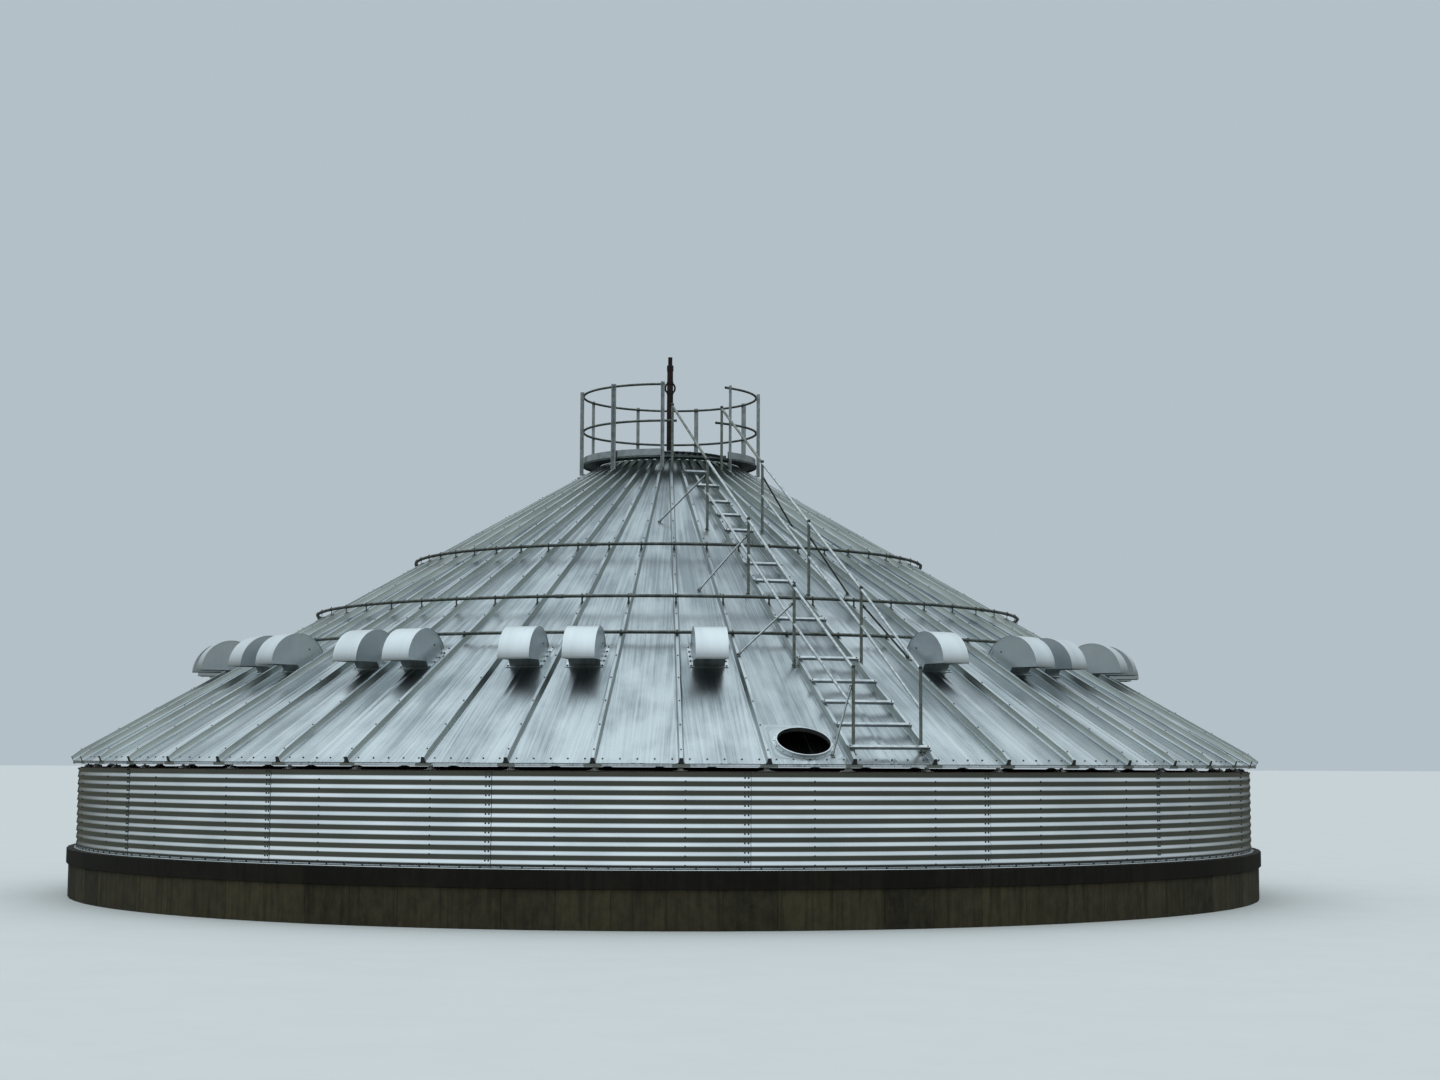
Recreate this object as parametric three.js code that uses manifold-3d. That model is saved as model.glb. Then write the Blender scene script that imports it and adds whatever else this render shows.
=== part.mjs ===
// A low round grain bin: one ring of corrugated wall sheets under a ribbed cone roof,
// on a round concrete foundation, with roof vents, roof rings, a roof stair and a peak platform.
// Millimetres, Z up, origin at the middle of the foundation's underside.
// Angles are in degrees from the front (-Y) towards +X: a place is (r sin a, -r cos a, z).
import * as THREE from 'three';
import { mergeVertices } from 'three/addons/utils/BufferGeometryUtils.js';
import Module from 'manifold-3d';

const wasm = await Module();
wasm.setup();

// Joint clearance between touching pieces
const clearance = 0.3;

// Foundation: a stem wall with a floor slab on it that stands a little proud
const foundationRadius = 8330;
const foundationHeight = 450;
const slabRadius = 8360;
const slabThickness = 200;
const foundationSides = 72;

// Wall: one ring of corrugated sheets
const sheetCount = 18;
const wallRadius = 8229.6;
const sheetHeight = 1117.6;
const corrugations = 11;
const corrugationDepth = 12.7;
const sheetBacking = 5;
const firstSeamAngle = 6.37;
const panelsPerSheet = 3;

// The gap between the wall's top edge and the eave line, which the eave brackets bridge
const eaveGap = 38;

// Roof: flat pans between raised hollow ribs
const eaveRadius = 8350;
const roofSlope = THREE.MathUtils.degToRad(30);
const lipHeight = 25;
const panThickness = 6;
const peakRadius = 790;
const panelCount = sheetCount * panelsPerSheet;
const sectorCount = 9;
const firstRibAngle = 1.02;
const ribHeight = 83;
const ribTopWidth = 36;
const ribBaseWidth = 62;
const sectorFlange = 8;

// Eave brackets that carry each rib on the top of the wall
const eaveBracket = { width: 80, depth: 12 };

// How far a joined piece reaches into the one that it is joined to
const overlap = 2;

// Roof vents: half-round hoods over rectangular necks that stand square to the roof slope
const hoodMiddleRadius = 6360;
const hoodBaseHeight = 1262;
const hoodRadius = 397;
const hoodWidth = 388;
const hoodOverPan = 52;
const neckFrontFoot = 6330;
const neckBackFoot = 6020;
const neckLength = 170;
const neckInset = 4;
const hoodSteps = 7;

// Manhole in one roof pan, with a raised rim and no lid
const manholePanel = 1;
const manholeRadius = 305;
const manholeMiddle = 7920;
const rimHeight = 40;
const rimThickness = 10;
const manholeSides = 24;

// Pipe rings round the roof: the radius of each, and its height over the rib tops
const ringPipeRadius = 21;
const ringBracket = { every: 6, width: 44, length: 56, leastHeight: 5 };
const roofRings = [
  { name: 'roof_ring_upper', radius: 3670, standoff: 67 },
  { name: 'roof_ring_middle', radius: 5050, standoff: 84 },
  { name: 'roof_ring_lower', radius: 5800, standoff: ringPipeRadius / Math.cos(roofSlope) },
];

// Roof stair, up the middle of one panel. Each step: its distance out, and its offset across the panel.
const stairPanel = 2;
const stairSteps = [
  [8170, -18],
  [7723, -18],
  [7263, -18],
  [6822, -18],
  [6325, -18],
  [5420, -18],
  [4490, -18],
  [4047, -18],
  [3150, -32],
  [2716, -32],
  [2335, -40],
  [1860, -40],
  [1440, -80],
];
const stairStepBar = { depth: 50, height: 35, leastLength: 330 };
const railPostRadius = 19;
const stairRailRadius = 18;
const bracePipeRadius = 13;
const pipeSides = 6;
const postHeight = 980;
const topPostHeight = 935;
const railDrop = 40;
const midRailHeight = 500;
const braceHeight = 745;
const postOverPan = 1;
const railFoot = { width: 46, length: 90, thickness: 8 };
const braceFootPlate = { width: 44, length: 70, thickness: 7 };
const railPosts = [
  { along: 8090, across: 410, brace: { along: 8128, across: 673, sides: 'left' } },
  { along: 6290, across: 433, brace: { along: 6175, across: 1095, onRib: true, sides: 'both' } },
  { along: 4600, across: 410, brace: { along: 4440, across: 1015, sides: 'both' } },
  { along: 2905, across: 392, brace: { along: 2560, across: 955, sides: 'both' } },
  { along: 1275, across: 368, onRib: true },
];

// Peak platform, its railing and the peak collar. Heights are over the eave line.
const platformRadius = 1283;
const platformInnerRadius = 1020;
const platformHeight = 4380;
const platformThickness = 24;
const toeBoardRadius = 1265;
const toeBoardTop = 4475;
const toeBoardThickness = 4;
const platformPostRibs = [6, 12, 18, 24, 30, 36, 42, 48, 53];
const platformPost = { leg: 50, thickness: 5, top: 5430 };
const platformFoot = { width: 50, length: 130, thickness: 7 };

// The railing's sections end halfway between two posts. Both rails run on past the entrance posts, by
// so many rib spacings.
const railJointRibs = [6, 15, 27, 39, 53];
const topRailReach = 0.36;
const midRailReach = 1.5;
const topRailHeight = 5395;
const midRailLevel = 4871;
const railRingRadius = 1271;
const handrailRadius = 17;
const railStepsPerSpacing = 2;
const collarInnerRadius = 735;
const collarOuterRadius = 780;
const collarFlangeRadius = 850;
const collarDepth = 120;
const collarFlangeThickness = 8;
const collarSides = 24;

// Mast on the roof's axis, standing on a bar across the peak collar
const mastRadius = 50;
const mastTop = 6000;
const mastNeckRadius = 33;
const mastNeckLength = 120;
const crossBar = { length: 1660, width: 90, height: 46 };
const mastSides = 16;

// Worked out from the driving dimensions
const wallBase = foundationHeight + slabThickness;
const eaveLine = wallBase + sheetHeight;
const panelAngle = 360 / panelCount;
const slopeRise = Math.tan(roofSlope);
const ribRise = ribHeight / Math.cos(roofSlope);
const halfPanelCosine = Math.cos(radians(panelAngle / 2));

function radians(degrees) {
  return THREE.MathUtils.degToRad(degrees);
}

function ribAngle(rib) {
  return firstRibAngle + rib * panelAngle;
}

function panelMiddle(panel) {
  return ribAngle(panel + 0.5);
}

// Height of a pan's top face on a rib line, at a distance from the axis
function panHeight(radius) {
  return eaveLine + lipHeight + (eaveRadius - radius) * slopeRise;
}

// Height of the pans' top face at any place on the roof
function panHeightAt(x, y) {
  const angle = THREE.MathUtils.radToDeg(Math.atan2(x, -y));
  const panel = Math.floor((angle - firstRibAngle) / panelAngle);
  const turn = radians(angle - panelMiddle(panel));
  const outward = Math.hypot(x, y) * Math.cos(turn) - (ribBaseWidth / 2) * Math.sin(radians(panelAngle / 2));
  return panHeight(outward / halfPanelCosine);
}

// A place given by the distance out along one direction and the distance across it
function place(angle, along, across, height) {
  const turn = radians(angle);
  return new THREE.Vector3(
    along * Math.sin(turn) + across * Math.cos(turn),
    -along * Math.cos(turn) + across * Math.sin(turn),
    height,
  );
}

// Only the positions, with shared corners merged
function welded(geometry) {
  const bare = geometry.clone();
  bare.deleteAttribute('normal');
  bare.deleteAttribute('uv');
  return mergeVertices(bare, 0.001);
}

function toSolid(geometry) {
  const shape = welded(geometry);
  const vertProperties = new Float32Array(shape.attributes.position.array);
  const triVerts = new Uint32Array(shape.index.array);
  return new wasm.Manifold(new wasm.Mesh({ numProp: 3, vertProperties, triVerts }));
}

function fromSolid(solid) {
  const mesh = solid.getMesh();
  const geometry = new THREE.BufferGeometry();
  geometry.setAttribute('position', new THREE.BufferAttribute(mesh.vertProperties, 3));
  geometry.setIndex(new THREE.BufferAttribute(mesh.triVerts, 1));
  return geometry;
}

function join(geometries) {
  const whole = geometries.slice(1).reduce((sum, piece) => sum.add(toSolid(piece)), toSolid(geometries[0]));
  return fromSolid(whole);
}

function cut(geometry, tool) {
  return fromSolid(toSolid(geometry).subtract(toSolid(tool)));
}

// A closed outline of [radius, height] points, anticlockwise, turned part of the way round the axis
function turnedSegment(outline, fromAngle, toAngle, steps) {
  const points = outline.map(([radius, height]) => new THREE.Vector2(radius, height));
  const closed = [...points, points[0]];
  const sweep = radians(toAngle - fromAngle);
  const lathe = new THREE.LatheGeometry(closed, steps, radians(fromAngle), sweep);
  const index = Array.from(lathe.index.array);
  const lastRing = steps * closed.length;
  for (const [a, b, c] of THREE.ShapeUtils.triangulateShape(points, [])) {
    index.push(a, b, c);
    index.push(lastRing + c, lastRing + b, lastRing + a);
  }
  lathe.setIndex(index);
  return welded(lathe).rotateX(Math.PI / 2);
}

// A closed outline turned all the way round the axis
function turnedRing(outline, steps) {
  const points = [...outline, outline[0]].map(([radius, height]) => new THREE.Vector2(radius, height));
  return welded(new THREE.LatheGeometry(points, steps)).rotateX(Math.PI / 2);
}

// An outline of [radius, height] points stood upright in one direction, with a thickness across it
function standingPlate(outline, angle, thickness) {
  const shape = new THREE.Shape(outline.map(([radius, height]) => new THREE.Vector2(radius, height)));
  const plate = new THREE.ExtrudeGeometry(shape, { depth: thickness, bevelEnabled: false });
  plate.translate(0, 0, -thickness / 2);
  plate.rotateX(Math.PI / 2);
  return plate.rotateZ(radians(angle - 90));
}

// A straight round bar between two places
function bar(from, to, radius, sides) {
  const axis = to.clone().sub(from);
  const rod = new THREE.CylinderGeometry(radius, radius, axis.length(), sides);
  const turn = new THREE.Quaternion().setFromUnitVectors(new THREE.Vector3(0, 1, 0), axis.normalize());
  rod.applyQuaternion(turn);
  const middle = from.clone().add(to).multiplyScalar(0.5);
  return rod.translate(middle.x, middle.y, middle.z);
}

// A flat plate lying on the roof slope, its underside's middle at the given place
function slopePlate(angle, spot, { width, length, thickness }) {
  const across = place(angle, 0, 1, 0);
  const upSlope = place(angle, -Math.cos(roofSlope), 0, Math.sin(roofSlope));
  const normal = place(angle, Math.sin(roofSlope), 0, Math.cos(roofSlope));
  const frame = new THREE.Matrix4().makeBasis(across, upSlope, normal).setPosition(spot);
  const plate = new THREE.BoxGeometry(width, length, thickness).translate(0, 0, thickness / 2);
  return plate.applyMatrix4(frame);
}

function circle(middleRadius, middleHeight, radius, sides) {
  return Array.from({ length: sides }, (_, corner) => {
    const turn = ((corner + 0.5) / sides) * 2 * Math.PI;
    return [middleRadius + radius * Math.cos(turn), middleHeight + radius * Math.sin(turn)];
  });
}

function foundationWall() {
  const disc = new THREE.CylinderGeometry(foundationRadius, foundationRadius, foundationHeight, foundationSides);
  return disc.rotateX(Math.PI / 2).translate(0, 0, foundationHeight / 2);
}

function floorSlab() {
  const thickness = slabThickness - clearance;
  const disc = new THREE.CylinderGeometry(slabRadius, slabRadius, thickness, foundationSides);
  return disc.rotateX(Math.PI / 2).translate(0, 0, foundationHeight + clearance + thickness / 2);
}

// One wall sheet: corrugated outside, with the brackets that carry the ribs over it
function wallSheet(sheet) {
  const base = wallBase + clearance;
  const pitch = (sheetHeight - clearance) / corrugations;
  const crest = wallRadius + corrugationDepth / 2;
  const valley = wallRadius - corrugationDepth / 2;
  const outline = [[valley - sheetBacking, base]];
  for (let wave = 0; wave < corrugations; wave += 1) {
    outline.push([valley, base + wave * pitch]);
    outline.push([crest, base + (wave + 0.5) * pitch]);
  }
  outline.push([crest, eaveLine - eaveGap]);
  outline.push([valley - sheetBacking, eaveLine - eaveGap]);
  const start = firstSeamAngle + (360 / sheetCount) * sheet;
  const jointAngle = THREE.MathUtils.radToDeg(clearance / 2 / wallRadius);
  const end = start + 360 / sheetCount;
  const skin = turnedSegment(outline, start + jointAngle, end - jointAngle, panelsPerSheet);
  const firstRib = Math.ceil((start - firstRibAngle) / panelAngle);
  const brackets = [0, 1, 2].map((offset) => wallBracket(ribAngle(firstRib + offset)));
  return join([skin, ...brackets]);
}

// An upright bracket from the top of the wall to the underside of the pans beside a rib
function wallBracket(angle) {
  const inner = wallRadius - eaveBracket.depth / 2 - sheetBacking / 2;
  const outer = inner + eaveBracket.depth;
  const low = eaveLine - eaveGap - overlap;
  const roofUnderside = (radius) => panHeight(radius) - lipHeight - clearance;
  const outline = [
    [inner, low],
    [outer, low],
    [outer, roofUnderside(outer)],
    [inner, roofUnderside(inner)],
  ];
  return standingPlate(outline, angle, eaveBracket.width);
}

// The roof sheet's section across one sector: a row of [rib, across, rise] points along the top
// and back along the underside. underPan is how far the pans' underside lies below their top.
function roofSection(firstRib, underPan) {
  const sheet = panThickness / Math.cos(roofSlope);
  const ribs = panelCount / sectorCount;
  const edge = -(ribBaseWidth / 2 + sectorFlange);
  const top = [[firstRib, edge, 0]];
  const under = [[firstRib, edge, -underPan]];
  for (let rib = firstRib; rib < firstRib + ribs; rib += 1) {
    top.push([rib, -ribBaseWidth / 2, 0]);
    top.push([rib, -ribTopWidth / 2, ribRise]);
    top.push([rib, ribTopWidth / 2, ribRise]);
    top.push([rib, ribBaseWidth / 2, 0]);
    under.push([rib, -ribBaseWidth / 2 + panThickness, -underPan]);
    under.push([rib, -ribTopWidth / 2 + panThickness, ribRise - sheet]);
    under.push([rib, ribTopWidth / 2 - panThickness, ribRise - sheet]);
    under.push([rib, ribBaseWidth / 2 - panThickness, -underPan]);
  }
  top.push([firstRib + ribs, edge - clearance, 0]);
  under.push([firstRib + ribs, edge - clearance, -underPan]);
  return [...under, ...top.reverse()];
}

// A sector's bare sheet, drawn from its section at the eave to its section at the peak. The pans
// are as deep as the eave lip at the eave and thin out towards the peak.
function roofSheet(firstRib) {
  const stations = [
    { radius: eaveRadius, underPan: lipHeight },
    { radius: peakRadius, underPan: panThickness / Math.cos(roofSlope) },
  ];
  const positions = [];
  for (const { radius, underPan } of stations) {
    for (const [rib, across, rise] of roofSection(firstRib, underPan)) {
      positions.push(...place(ribAngle(rib), radius, across, panHeight(radius) + rise));
    }
  }
  const count = positions.length / 3 / stations.length;
  const index = [];
  for (let station = 0; station < stations.length - 1; station += 1) {
    for (let corner = 0; corner < count; corner += 1) {
      const next = (corner + 1) % count;
      const near = station * count;
      const far = near + count;
      index.push(near + corner, far + corner, near + next);
      index.push(near + next, far + corner, far + next);
    }
  }
  const last = (stations.length - 1) * count;
  for (const [a, b, c] of sectionFaces(firstRib, stations[0])) {
    index.push(a, b, c);
  }
  for (const [a, b, c] of sectionFaces(firstRib, stations[stations.length - 1])) {
    index.push(last + c, last + b, last + a);
  }
  const geometry = new THREE.BufferGeometry();
  geometry.setAttribute('position', new THREE.Float32BufferAttribute(positions, 3));
  geometry.setIndex(index);
  return geometry;
}

// The faces that close a sector's section at one station, found on the section laid out flat
function sectionFaces(firstRib, { radius, underPan }) {
  const spacing = 2 * radius * Math.sin(radians(panelAngle / 2));
  const flat = roofSection(firstRib, underPan).map(([rib, across, rise]) => {
    return new THREE.Vector2((rib - firstRib) * spacing + across, rise);
  });
  return THREE.ShapeUtils.triangulateShape(flat, []);
}

// A roof vent: a half-round hood, its back cut parallel to the roof, over a neck from the pan
function roofVent(panel) {
  const angle = panelMiddle(panel);
  const base = eaveLine + hoodBaseHeight;
  const cutLine = (radius) => panHeight(radius / halfPanelCosine) + hoodOverPan;
  const overCut = (base - cutLine(hoodMiddleRadius)) * Math.cos(roofSlope);
  const arcEnd = Math.PI - roofSlope + Math.asin(overCut / hoodRadius);
  const outline = [];
  for (let step = 0; step <= hoodSteps; step += 1) {
    const turn = (step / hoodSteps) * arcEnd;
    outline.push([hoodMiddleRadius + hoodRadius * Math.cos(turn), base + hoodRadius * Math.sin(turn)]);
  }
  const cutMeetsBase = hoodMiddleRadius - (base - cutLine(hoodMiddleRadius)) / slopeRise;
  outline.push([cutMeetsBase, base]);
  const hood = standingPlate(outline, angle, hoodWidth);
  const onWall = (foot, rise) => {
    return [foot + rise * Math.sin(roofSlope), cutLine(foot) - hoodOverPan + rise * Math.cos(roofSlope)];
  };
  const neckOutline = [
    onWall(neckBackFoot, -overlap),
    onWall(neckFrontFoot, -overlap),
    onWall(neckFrontFoot, neckLength),
    onWall(neckBackFoot, neckLength),
  ];
  const neck = standingPlate(neckOutline, angle, hoodWidth - 2 * neckInset);
  return join([hood, neck]);
}

function hasVent(panel) {
  const onStairOrManhole = panel === manholePanel || panel === stairPanel + 1;
  return panel % 3 !== 2 && !onStairOrManhole;
}

// The manhole's rim and the hole through it, square to the pan
function manholeCylinder(radius, low, high) {
  const angle = radians(panelMiddle(manholePanel));
  const drum = new THREE.CylinderGeometry(radius, radius, high - low, manholeSides);
  drum.rotateX(Math.PI / 2).translate(0, 0, (high + low) / 2);
  drum.rotateX(roofSlope);
  drum.translate(0, -manholeMiddle, panHeight(manholeMiddle / halfPanelCosine));
  return drum.rotateZ(angle);
}

function roofSector(sector) {
  const ribs = panelCount / sectorCount;
  const firstRib = sector * ribs + 1;
  const pieces = [roofSheet(firstRib)];
  for (let panel = firstRib; panel < firstRib + ribs; panel += 1) {
    if (hasVent(panel)) {
      pieces.push(roofVent(panel));
    }
  }
  if (sector > 0) {
    return join(pieces);
  }
  const rim = manholeCylinder(manholeRadius + rimThickness, -panThickness / 2, rimHeight);
  const hole = manholeCylinder(manholeRadius, -rimHeight, 2 * rimHeight);
  return cut(join([...pieces, rim]), hole);
}

// A pipe ring with a corner over each rib, standing on brackets on the ribs
function roofRing({ radius, standoff }) {
  const height = panHeight(radius) + ribRise + standoff + clearance;
  const pipe = turnedRing(circle(radius, height, ringPipeRadius, pipeSides), panelCount);
  pipe.rotateZ(radians(firstRibAngle));
  const pieces = [pipe];
  for (let rib = 0; rib < panelCount; rib += ringBracket.every) {
    const low = (distance) => panHeight(distance) + ribRise + clearance;
    const inner = radius - ringBracket.length / 2;
    const outer = radius + ringBracket.length / 2;
    const outline = [
      [inner, low(inner)],
      [outer, low(outer)],
      [outer, Math.max(height - ringPipeRadius / 2, low(outer) + ringBracket.leastHeight)],
      [inner, Math.max(height - ringPipeRadius / 2, low(inner) + ringBracket.leastHeight)],
    ];
    pieces.push(standingPlate(outline, ribAngle(rib), ringBracket.width));
  }
  return join(pieces);
}

// A step: a bar across the two ribs beside the stair panel, lying on the slope
function stairStep([distance, offset]) {
  const { depth, height, leastLength } = stairStepBar;
  const ribSpacing = 2 * distance * Math.tan(radians(panelAngle / 2));
  const onRibs = panHeight(distance / halfPanelCosine) + ribRise + 3 * clearance;
  const spot = place(panelMiddle(stairPanel), distance, offset, onRibs);
  const size = { width: Math.max(leastLength, ribSpacing + ribTopWidth), length: depth, thickness: height };
  return slopePlate(panelMiddle(stairPanel), spot, size);
}

// One side of the roof stair's railing: posts on foot plates, two rails and slanting braces
function stairRail(side) {
  const stair = panelMiddle(stairPanel);
  const sideName = side < 0 ? 'left' : 'right';
  const pieces = [];
  const seat = (along, across, onRib) => {
    const spot = place(stair, along, side * across, 0);
    const rise = onRib ? ribRise + 2 * clearance : clearance;
    return spot.setZ(panHeightAt(spot.x, spot.y) + rise);
  };
  const plateAngle = (spot, onRib) => {
    const angle = THREE.MathUtils.radToDeg(Math.atan2(spot.x, -spot.y));
    const rib = (angle - firstRibAngle) / panelAngle;
    return onRib ? ribAngle(Math.round(rib)) : panelMiddle(Math.floor(rib));
  };
  const raised = (spot, height) => spot.clone().setZ(spot.z + height);
  const feet = railPosts.map(({ along, across, onRib }) => seat(along, across, onRib));
  const heights = railPosts.map(({ onRib }) => (onRib ? topPostHeight : postHeight));
  railPosts.forEach(({ onRib, brace }, number) => {
    const foot = feet[number];
    pieces.push(slopePlate(plateAngle(foot, onRib), foot, railFoot));
    const postFoot = raised(foot, railPostRadius * slopeRise + postOverPan);
    pieces.push(bar(postFoot, raised(foot, heights[number]), railPostRadius, pipeSides));
    if (!brace || (brace.sides !== 'both' && brace.sides !== sideName)) {
      return;
    }
    const braceFoot = seat(brace.along, brace.across, brace.onRib);
    pieces.push(slopePlate(plateAngle(braceFoot, brace.onRib), braceFoot, braceFootPlate));
    pieces.push(bar(raised(braceFoot, bracePipeRadius), raised(foot, braceHeight), bracePipeRadius, pipeSides));
  });
  for (let span = 0; span < feet.length - 1; span += 1) {
    const [near, far] = [feet[span], feet[span + 1]];
    const topRail = [raised(near, heights[span] - railDrop), raised(far, heights[span + 1] - railDrop)];
    pieces.push(bar(...topRail, stairRailRadius, pipeSides));
    if (span < feet.length - 2) {
      pieces.push(bar(raised(near, midRailHeight), raised(far, midRailHeight), stairRailRadius, pipeSides));
    }
  }
  return join(pieces);
}

function platformFloor() {
  const top = eaveLine + platformHeight;
  const bottom = top - platformThickness;
  const outline = [
    [platformInnerRadius, bottom],
    [platformRadius, bottom],
    [platformRadius, top],
    [platformInnerRadius, top],
  ];
  return turnedRing(outline, panelCount).rotateZ(radians(firstRibAngle));
}

function toeBoard() {
  const bottom = eaveLine + platformHeight + clearance;
  const top = eaveLine + toeBoardTop;
  const inner = toeBoardRadius - toeBoardThickness;
  const outline = [
    [inner, bottom],
    [toeBoardRadius, bottom],
    [toeBoardRadius, top],
    [inner, top],
  ];
  const firstRib = platformPostRibs[0];
  const lastRib = platformPostRibs[platformPostRibs.length - 1];
  return turnedSegment(outline, ribAngle(firstRib), ribAngle(lastRib), lastRib - firstRib);
}

// One section of the platform's railing: its posts on the ribs, a top rail and a mid rail
function platformRail(section) {
  const jointRibs = THREE.MathUtils.radToDeg(clearance / 2 / railRingRadius) / panelAngle;
  const isFirst = section === 0;
  const isLast = section === railJointRibs.length - 2;
  const from = railJointRibs[section];
  const to = railJointRibs[section + 1];
  const pieces = [];
  for (const rib of platformPostRibs.filter((post) => post >= from && post <= to)) {
    pieces.push(...platformPostPieces(ribAngle(rib)));
  }
  for (const [height, reach] of [[topRailHeight, topRailReach], [midRailLevel, midRailReach]]) {
    const outline = circle(railRingRadius, eaveLine + height, handrailRadius, pipeSides);
    const start = from + (isFirst ? -reach : jointRibs);
    const finish = to + (isLast ? reach : -jointRibs);
    const steps = railStepsPerSpacing * Math.ceil(finish - start);
    pieces.push(turnedSegment(outline, ribAngle(start), ribAngle(finish), steps));
  }
  return join(pieces);
}

// An angle-iron post, with one leg along the railing and the other outwards, on a foot plate
function platformPostPieces(angle) {
  const { leg, thickness, top } = platformPost;
  const inner = platformRadius + clearance;
  const foot = panHeight(inner) + ribRise + 2 * clearance;
  const section = [
    [0, inner],
    [leg, inner],
    [leg, inner + thickness],
    [thickness, inner + thickness],
    [thickness, inner + leg],
    [0, inner + leg],
  ];
  const shape = new THREE.Shape(section.map(([across, out]) => new THREE.Vector2(across, -out)));
  const height = eaveLine + top - foot;
  const post = new THREE.ExtrudeGeometry(shape, { depth: height, bevelEnabled: false });
  post.translate(0, 0, foot).rotateZ(radians(angle));
  const middle = inner + leg / 2;
  const plateSpot = place(angle, middle, 0, panHeight(middle) + ribRise + 3 * clearance);
  return [post, slopePlate(angle, plateSpot, platformFoot)];
}

function peakCollar() {
  const seat = panHeight(peakRadius) + ribRise + clearance;
  const flangeTop = seat + collarFlangeThickness;
  const outline = [
    [collarInnerRadius, seat - collarDepth],
    [collarOuterRadius, seat - collarDepth],
    [collarOuterRadius, seat],
    [collarFlangeRadius, seat],
    [collarFlangeRadius, flangeTop],
    [collarInnerRadius, flangeTop],
  ];
  return turnedRing(outline, collarSides);
}

function mast() {
  const barBottom = panHeight(peakRadius) + ribRise + 2 * clearance + collarFlangeThickness;
  const cross = new THREE.BoxGeometry(crossBar.length, crossBar.width, crossBar.height);
  cross.translate(0, 0, barBottom + crossBar.height / 2);
  const shoulder = eaveLine + mastTop - mastNeckLength;
  const onAxis = (height) => new THREE.Vector3(0, 0, height);
  const upright = bar(onAxis(barBottom + overlap), onAxis(shoulder), mastRadius, mastSides);
  const neck = bar(onAxis(shoulder - overlap), onAxis(eaveLine + mastTop), mastNeckRadius, mastSides);
  return join([cross, upright, neck]);
}

const group = new THREE.Group();
const finishes = {
  concrete: { color: 0x6f6a5e, roughness: 0.9, metalness: 0 },
  wallSheet: { color: 0xa9b0b3, roughness: 0.45, metalness: 0.8 },
  roofSheet: { color: 0xaeb4b8, roughness: 0.4, metalness: 0.8 },
  pipe: { color: 0x9da3a6, roughness: 0.5, metalness: 0.8 },
  rustySteel: { color: 0x4a352b, roughness: 0.85, metalness: 0.3 },
};

function addPiece(name, geometry, finish) {
  const mesh = new THREE.Mesh(geometry, new THREE.MeshStandardMaterial(finishes[finish]));
  mesh.name = name;
  group.add(mesh);
}

function numbered(name, index) {
  return `${name}_${String(index + 1).padStart(2, '0')}`;
}

addPiece('foundation_wall', foundationWall(), 'concrete');
addPiece('floor_slab', floorSlab(), 'concrete');
for (let sheet = 0; sheet < sheetCount; sheet += 1) {
  addPiece(numbered('wall_sheet', sheet), wallSheet(sheet), 'wallSheet');
}
for (let sector = 0; sector < sectorCount; sector += 1) {
  addPiece(numbered('roof_sector', sector), roofSector(sector), 'roofSheet');
}
for (const ring of roofRings) {
  addPiece(ring.name, roofRing(ring), 'pipe');
}
stairSteps.forEach((step, number) => {
  addPiece(numbered('stair_step', number), stairStep(step), 'pipe');
});
addPiece('stair_rail_left', stairRail(-1), 'pipe');
addPiece('stair_rail_right', stairRail(1), 'pipe');
addPiece('platform_floor', platformFloor(), 'pipe');
addPiece('platform_toe_board', toeBoard(), 'pipe');
for (let section = 0; section < railJointRibs.length - 1; section += 1) {
  addPiece(numbered('platform_rail', section), platformRail(section), 'pipe');
}
addPiece('peak_collar', peakCollar(), 'pipe');
addPiece('mast', mast(), 'rustySteel');

export default group;
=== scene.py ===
import math

import bmesh
import bpy
from mathutils import Matrix, Vector


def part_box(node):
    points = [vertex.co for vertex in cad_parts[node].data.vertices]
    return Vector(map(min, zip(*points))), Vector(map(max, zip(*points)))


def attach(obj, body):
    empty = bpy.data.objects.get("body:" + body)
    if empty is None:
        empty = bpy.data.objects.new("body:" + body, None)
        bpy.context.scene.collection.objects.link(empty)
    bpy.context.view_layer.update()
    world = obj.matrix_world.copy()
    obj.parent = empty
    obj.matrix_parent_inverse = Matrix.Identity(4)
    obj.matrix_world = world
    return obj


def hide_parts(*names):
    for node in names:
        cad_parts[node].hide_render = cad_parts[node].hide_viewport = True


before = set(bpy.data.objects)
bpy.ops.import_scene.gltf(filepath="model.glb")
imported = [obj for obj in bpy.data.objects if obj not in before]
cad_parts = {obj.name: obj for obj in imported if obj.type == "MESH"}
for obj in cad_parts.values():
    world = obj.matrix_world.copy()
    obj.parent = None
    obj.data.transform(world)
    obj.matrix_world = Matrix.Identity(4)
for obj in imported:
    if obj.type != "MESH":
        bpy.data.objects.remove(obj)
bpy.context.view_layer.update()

# Edges that turn more than this stay sharp
SHARP_EDGE = math.radians(35)

# Bolts of the common size: a hexagon head on a round sealing washer
HEAD_RADIUS = 0.0085
HEAD_TOP = 0.009
WASHER_RADIUS = 0.0125
WASHER_TOP_RADIUS = 0.0115
WASHER_HEIGHT = 0.005
WASHER_SINK = 0.002

# Foundation: a stem wall cast in flat forms, under a floor slab that stands a little proud
STEM_RADIUS = 8.33
SLAB_RADIUS = 8.36
FORM_COUNT = 86
FORM_JOINT = 0.012
FORM_JOINT_DEPTH = 0.006
SLAB_CHAMFER = 0.006

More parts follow.
